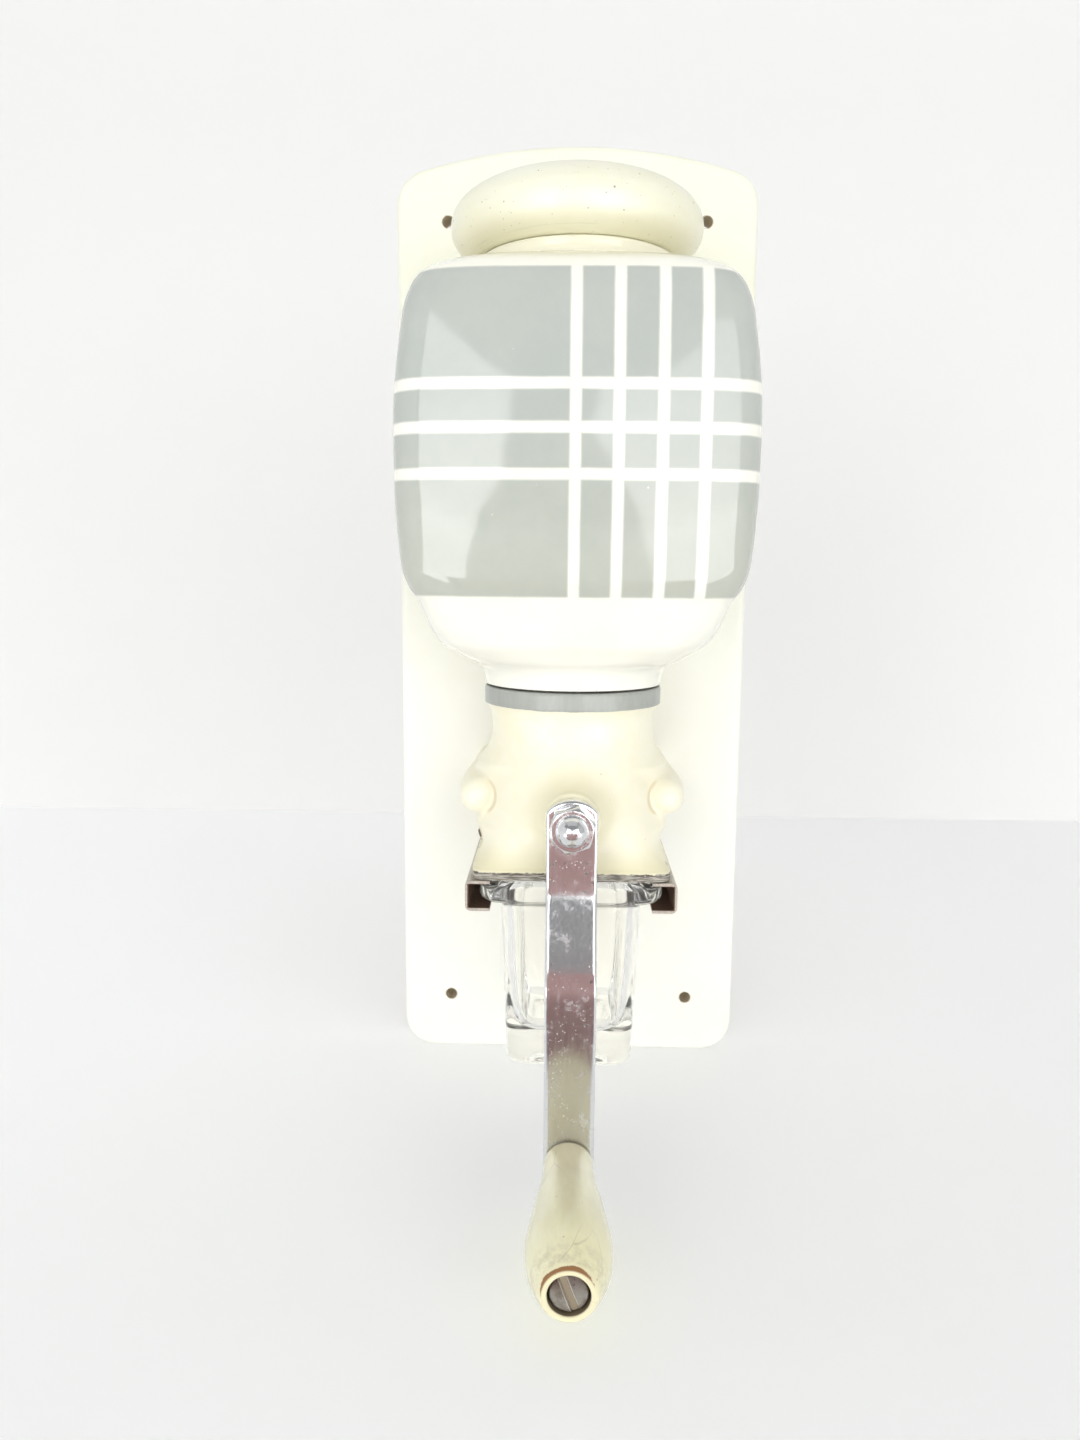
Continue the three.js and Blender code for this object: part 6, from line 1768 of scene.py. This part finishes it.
def flat_sheet(name, corners, tone, glow=0.0, fade=None):
    """A flat stage piece with corners in metres, plain matt or glowing.

    A fade (axis, from, to, glow there) changes the glow evenly along one of the world's axes.
    """
    mesh = bpy.data.meshes.new(name)
    mesh.from_pydata(corners, [], [tuple(range(len(corners)))])
    piece = bpy.data.objects.new(name, mesh)
    bpy.context.scene.collection.objects.link(piece)
    material = bpy.data.materials.new(name)
    material.use_nodes = True
    tree = material.node_tree
    shader = fill(tree.nodes["Principled BSDF"], {
        "Base Color": (*tone, 1), "Roughness": 0.9, "Specular IOR Level": 0.1,
        "Emission Color": (*tone, 1), "Emission Strength": glow,
    })
    if fade:
        axis, start, end, other = fade
        source = node(tree, "ShaderNodeTexCoord").outputs["Object"]
        parts = fill(node(tree, "ShaderNodeSeparateXYZ"), {0: source})
        level = ramp(tree, parts.outputs[axis], start, end, glow, other, smooth=False)
        fill(shader, {"Emission Strength": level})
    mesh.materials.append(material)
    return piece


def window(name, corners, level, fade=None, tone=(1, 1, 1)):
    """A glowing sheet in front of the mill that the camera doesn't see: a bright panel, a floor gleam or the
    reflection card.
    """
    made = flat_sheet(name, corners, tone, level, fade)
    made.visible_camera = False
    made.visible_shadow = False
    return made


def panel_light(name, at, towards, size, power):
    """A soft rectangular lamp that faces a point and that the camera doesn't see."""
    data = bpy.data.lights.new(name, "AREA")
    data.shape = "RECTANGLE"
    data.size, data.size_y = size
    data.energy = power
    lamp = bpy.data.objects.new(name, data)
    bpy.context.scene.collection.objects.link(lamp)
    lamp.location = at
    lamp.rotation_euler = (Vector(towards) - Vector(at)).to_track_quat("-Z", "Y").to_euler()
    lamp.visible_camera = False


def make_camera():
    """The photograph's camera: 0.4 m in front of the board, a little above its middle, tilted down."""
    data = bpy.data.cameras.new("Camera")
    data.sensor_width = 36
    data.lens = 26.25
    data.clip_start = 0.01
    data.clip_end = 20
    camera = bpy.data.objects.new("Camera", data)
    bpy.context.scene.collection.objects.link(camera)
    yaw, pitch, roll = (math.radians(angle) for angle in (1.328, 8.162, 0.4545))
    place = Matrix.Translation((-0.0027, -0.4115, 0.0222)) @ Matrix.Rotation(yaw, 4, "Z")
    tilt = Matrix.Rotation(math.pi / 2 - pitch, 4, "X") @ Matrix.Rotation(roll, 4, "Z")
    camera.matrix_world = place @ tilt
    bpy.context.scene.camera = camera


# Outlines in x and z of the bright panels in front, and in x and y of their gleams on the floor
WINDOW_Y = -2.6
LEFT_WINDOW = (
    (-2.09, -0.168), (-0.551, -0.168), (-0.507, -0.104), (-0.4, 0.167), (-0.325, 0.32), (-0.31, 0.9),
    (-0.395, 0.94), (-0.708, 1.21), (-1.19, 1.44), (-2.09, 1.83),
)
RIGHT_WINDOW = (
    (0.386, -0.168), (2.9, -0.168), (2.9, 1.97), (1.99, 1.68), (0.98, 1.31), (0.7, 1.13), (0.52, 0.92),
    (0.354, 0.88), (0.11, 0.82), (0.11, 0.3), (0.25, 0.144), (0.37, -0.104),
)
LEFT_GLEAM = (
    (-0.551, -2.6), (-0.445, -1.93), (-0.25, -0.94), (-0.136, -0.48), (-0.1, -0.3), (-0.35, -0.3),
    (-2.09, -2.6),
)
RIGHT_GLEAM = ((0.386, -2.6), (0.24, -1.49), (0.12, -0.7), (0.06, -0.3), (0.5, -0.3), (2.9, -2.6))


def make_stage():
    """Floor, backdrop, lamps, room light and camera, with the card and floor gleams that glow only into
    reflections.
    """
    settings = bpy.context.scene.mill_studio
    ground, wall, wide, tall = BOARD_LOW.z, 0.394, 3, 2.6
    floor = [(-wide, -wide, ground), (wide, -wide, ground), (wide, wall, ground), (-wide, wall, ground)]
    flat_sheet("floor", floor, tuple(settings.floor), 0.245, (0, -0.3, 0.3, 0.17))
    backdrop = [(-wide, wall, ground), (wide, wall, ground), (wide, wall, tall), (-wide, wall, tall)]
    flat_sheet("backdrop", backdrop, tuple(settings.backdrop), 0.11, (2, ground, 0.35, 0.0))
    # A glowing reddish card below the camera, seen only in reflections: its glow, which fades with height,
    # sets the red-brown painted reflection in the chrome arm
    side, low, high, y = 0.09, ground + 0.001, -0.05, -0.215
    corners = [(-side, y, low), (side, y, low), (side, y, high), (-side, y, high)]
    card = window("card", corners, 0.1, (2, -0.155, -0.105, 0.83), shade(138, 110, 108))
    card.visible_diffuse = False
    for name, outline, gleam, level in (
        ("left", LEFT_WINDOW, LEFT_GLEAM, settings.left_window),
        ("right", RIGHT_WINDOW, RIGHT_GLEAM, settings.right_window),
    ):
        pane = [(x, WINDOW_Y, z) for x, z in outline]
        window(name + "_window", pane, level * 1.36, (2, ground, 1.0, level * 0.88))
        # Painted light: glowing patches on the floor, seen only in reflections, where the windows' light
        # would fall
        patch = [(x, y, ground + 0.002) for x, y in gleam]
        window(name + "_gleam", patch, level * 1.6).visible_diffuse = False
    panel_light("top_panel", (0, -0.3, 1.3), (0, 0, 0), (1.6, 1.2), settings.top_light)
    studio_world(settings)
    make_camera()
    bpy.context.scene.view_settings.view_transform = "Standard"


# Carried-over nodes

CARRIED = (
    "hopper_washer", "hopper_nut", "front_bush", "burr_ring", "rear_bearing_plate", "plate_screw_left",
    "plate_screw_right", "rail_rivet_left_rear", "rail_rivet_left_front", "rail_rivet_right_rear",
    "rail_rivet_right_front", "crank_shaft", "burr_cone", "cone_pin", "cone_spring",
)


def finish_carried():
    """Gives each frame node that stays visible its slot's finish."""
    slots = {row["node"]: row["material_slot"] for row in frame["record"]["subparts"]}
    for name in CARRIED:
        made = frame["nodes"][name]
        made.data.materials.clear()
        made.data.materials.append(finish_of(slots[name]))


# Operators


class MakeBoard(bpy.types.Operator):
    """Make the painted wall board with its drilled holes"""

    bl_idname = "coffee_mill.make_board"
    bl_label = "Board"

    def execute(self, context):
        make_board()
        return {"FINISHED"}


class MakeHopper(bpy.types.Operator):
    """Make the glazed hopper and the gasket under it"""

    bl_idname = "coffee_mill.make_hopper"
    bl_label = "Hopper"

    def execute(self, context):
        make_hopper()
        make_gasket()
        return {"FINISHED"}


class MakeLid(bpy.types.Operator):
    """Make the turned lid"""

    bl_idname = "coffee_mill.make_lid"
    bl_label = "Lid"

    def execute(self, context):
        make_lid()
        return {"FINISHED"}


class MakeCasting(bpy.types.Operator):
    """Make the cast mill body"""

    bl_idname = "coffee_mill.make_casting"
    bl_label = "Casting"

    def execute(self, context):
        make_casting()
        return {"FINISHED"}


class MakeRails(bpy.types.Operator):
    """Make the two bent rails"""

    bl_idname = "coffee_mill.make_rails"
    bl_label = "Rails"

    def execute(self, context):
        make_rail(-1)
        make_rail(1)
        return {"FINISHED"}


class MakeCup(bpy.types.Operator):
    """Make the pressed-glass catch cup"""

    bl_idname = "coffee_mill.make_cup"
    bl_label = "Cup"

    def execute(self, context):
        make_cup()
        return {"FINISHED"}


class MakeCrank(bpy.types.Operator):
    """Make the crank arm and its cap nut"""

    bl_idname = "coffee_mill.make_crank"
    bl_label = "Crank"

    def execute(self, context):
        make_arm()
        make_cap_nut()
        return {"FINISHED"}


class MakeGrip(bpy.types.Operator):
    """Make the turned grip"""

    bl_idname = "coffee_mill.make_grip"
    bl_label = "Grip"

    def execute(self, context):
        make_grip()
        return {"FINISHED"}


class MakeFasteners(bpy.types.Operator):
    """Make the slotted screws and the rings"""

    bl_idname = "coffee_mill.make_fasteners"
    bl_label = "Screws and rings"

    def execute(self, context):
        make_flat_screws()
        make_grip_screw()
        make_set_screw()
        make_rings()
        return {"FINISHED"}


class FinishCarried(bpy.types.Operator):
    """Give the works inside the mill their finishes"""

    bl_idname = "coffee_mill.finish_carried"
    bl_label = "Works"

    def execute(self, context):
        finish_carried()
        return {"FINISHED"}


class MakeStage(bpy.types.Operator):
    """Make the floor, backdrop, lamps and camera"""

    bl_idname = "coffee_mill.make_stage"
    bl_label = "Stage"

    def execute(self, context):
        make_stage()
        return {"FINISHED"}


STEPS = (
    MakeStage, MakeBoard, MakeHopper, MakeLid, MakeCasting, MakeRails, MakeCup, MakeCrank, MakeGrip,
    MakeFasteners, FinishCarried,
)
SETTINGS = {
    "mill_board": BoardSizes,
    "mill_hopper": HopperSizes,
    "mill_casting": CastingSizes,
    "mill_crank": CrankSizes,
    "mill_cup": CupSizes,
    "mill_finishes": Finishes,
    "mill_studio": Studio,
}


class MillPanel(bpy.types.Panel):
    """Lists the mill's settings and the steps that build it"""

    bl_idname = "VIEW3D_PT_coffee_mill"
    bl_label = "Coffee mill"
    bl_space_type = "VIEW_3D"
    bl_region_type = "UI"
    bl_category = "Coffee mill"

    def draw(self, context):
        for key, kind in SETTINGS.items():
            section = self.layout.box()
            section.label(text=kind.__doc__)
            for name in kind.__annotations__:
                section.prop(getattr(context.scene, key), name)
        for step in STEPS:
            self.layout.operator(step.bl_idname)


def register():
    """Registers the settings, the steps and the panel, and gives the scene its settings."""
    for kind in (*SETTINGS.values(), *STEPS, MillPanel):
        bpy.utils.register_class(kind)
    for key, kind in SETTINGS.items():
        setattr(bpy.types.Scene, key, PointerProperty(type=kind))


def unregister():
    """Takes back everything that register added."""
    for key in SETTINGS:
        delattr(bpy.types.Scene, key)
    for kind in reversed((*SETTINGS.values(), *STEPS, MillPanel)):
        bpy.utils.unregister_class(kind)


def main():
    """Runs every step once."""
    register()
    for step in STEPS:
        group_name, action = step.bl_idname.split(".")
        getattr(getattr(bpy.ops, group_name), action)()


if __name__ == "__main__":
    main()
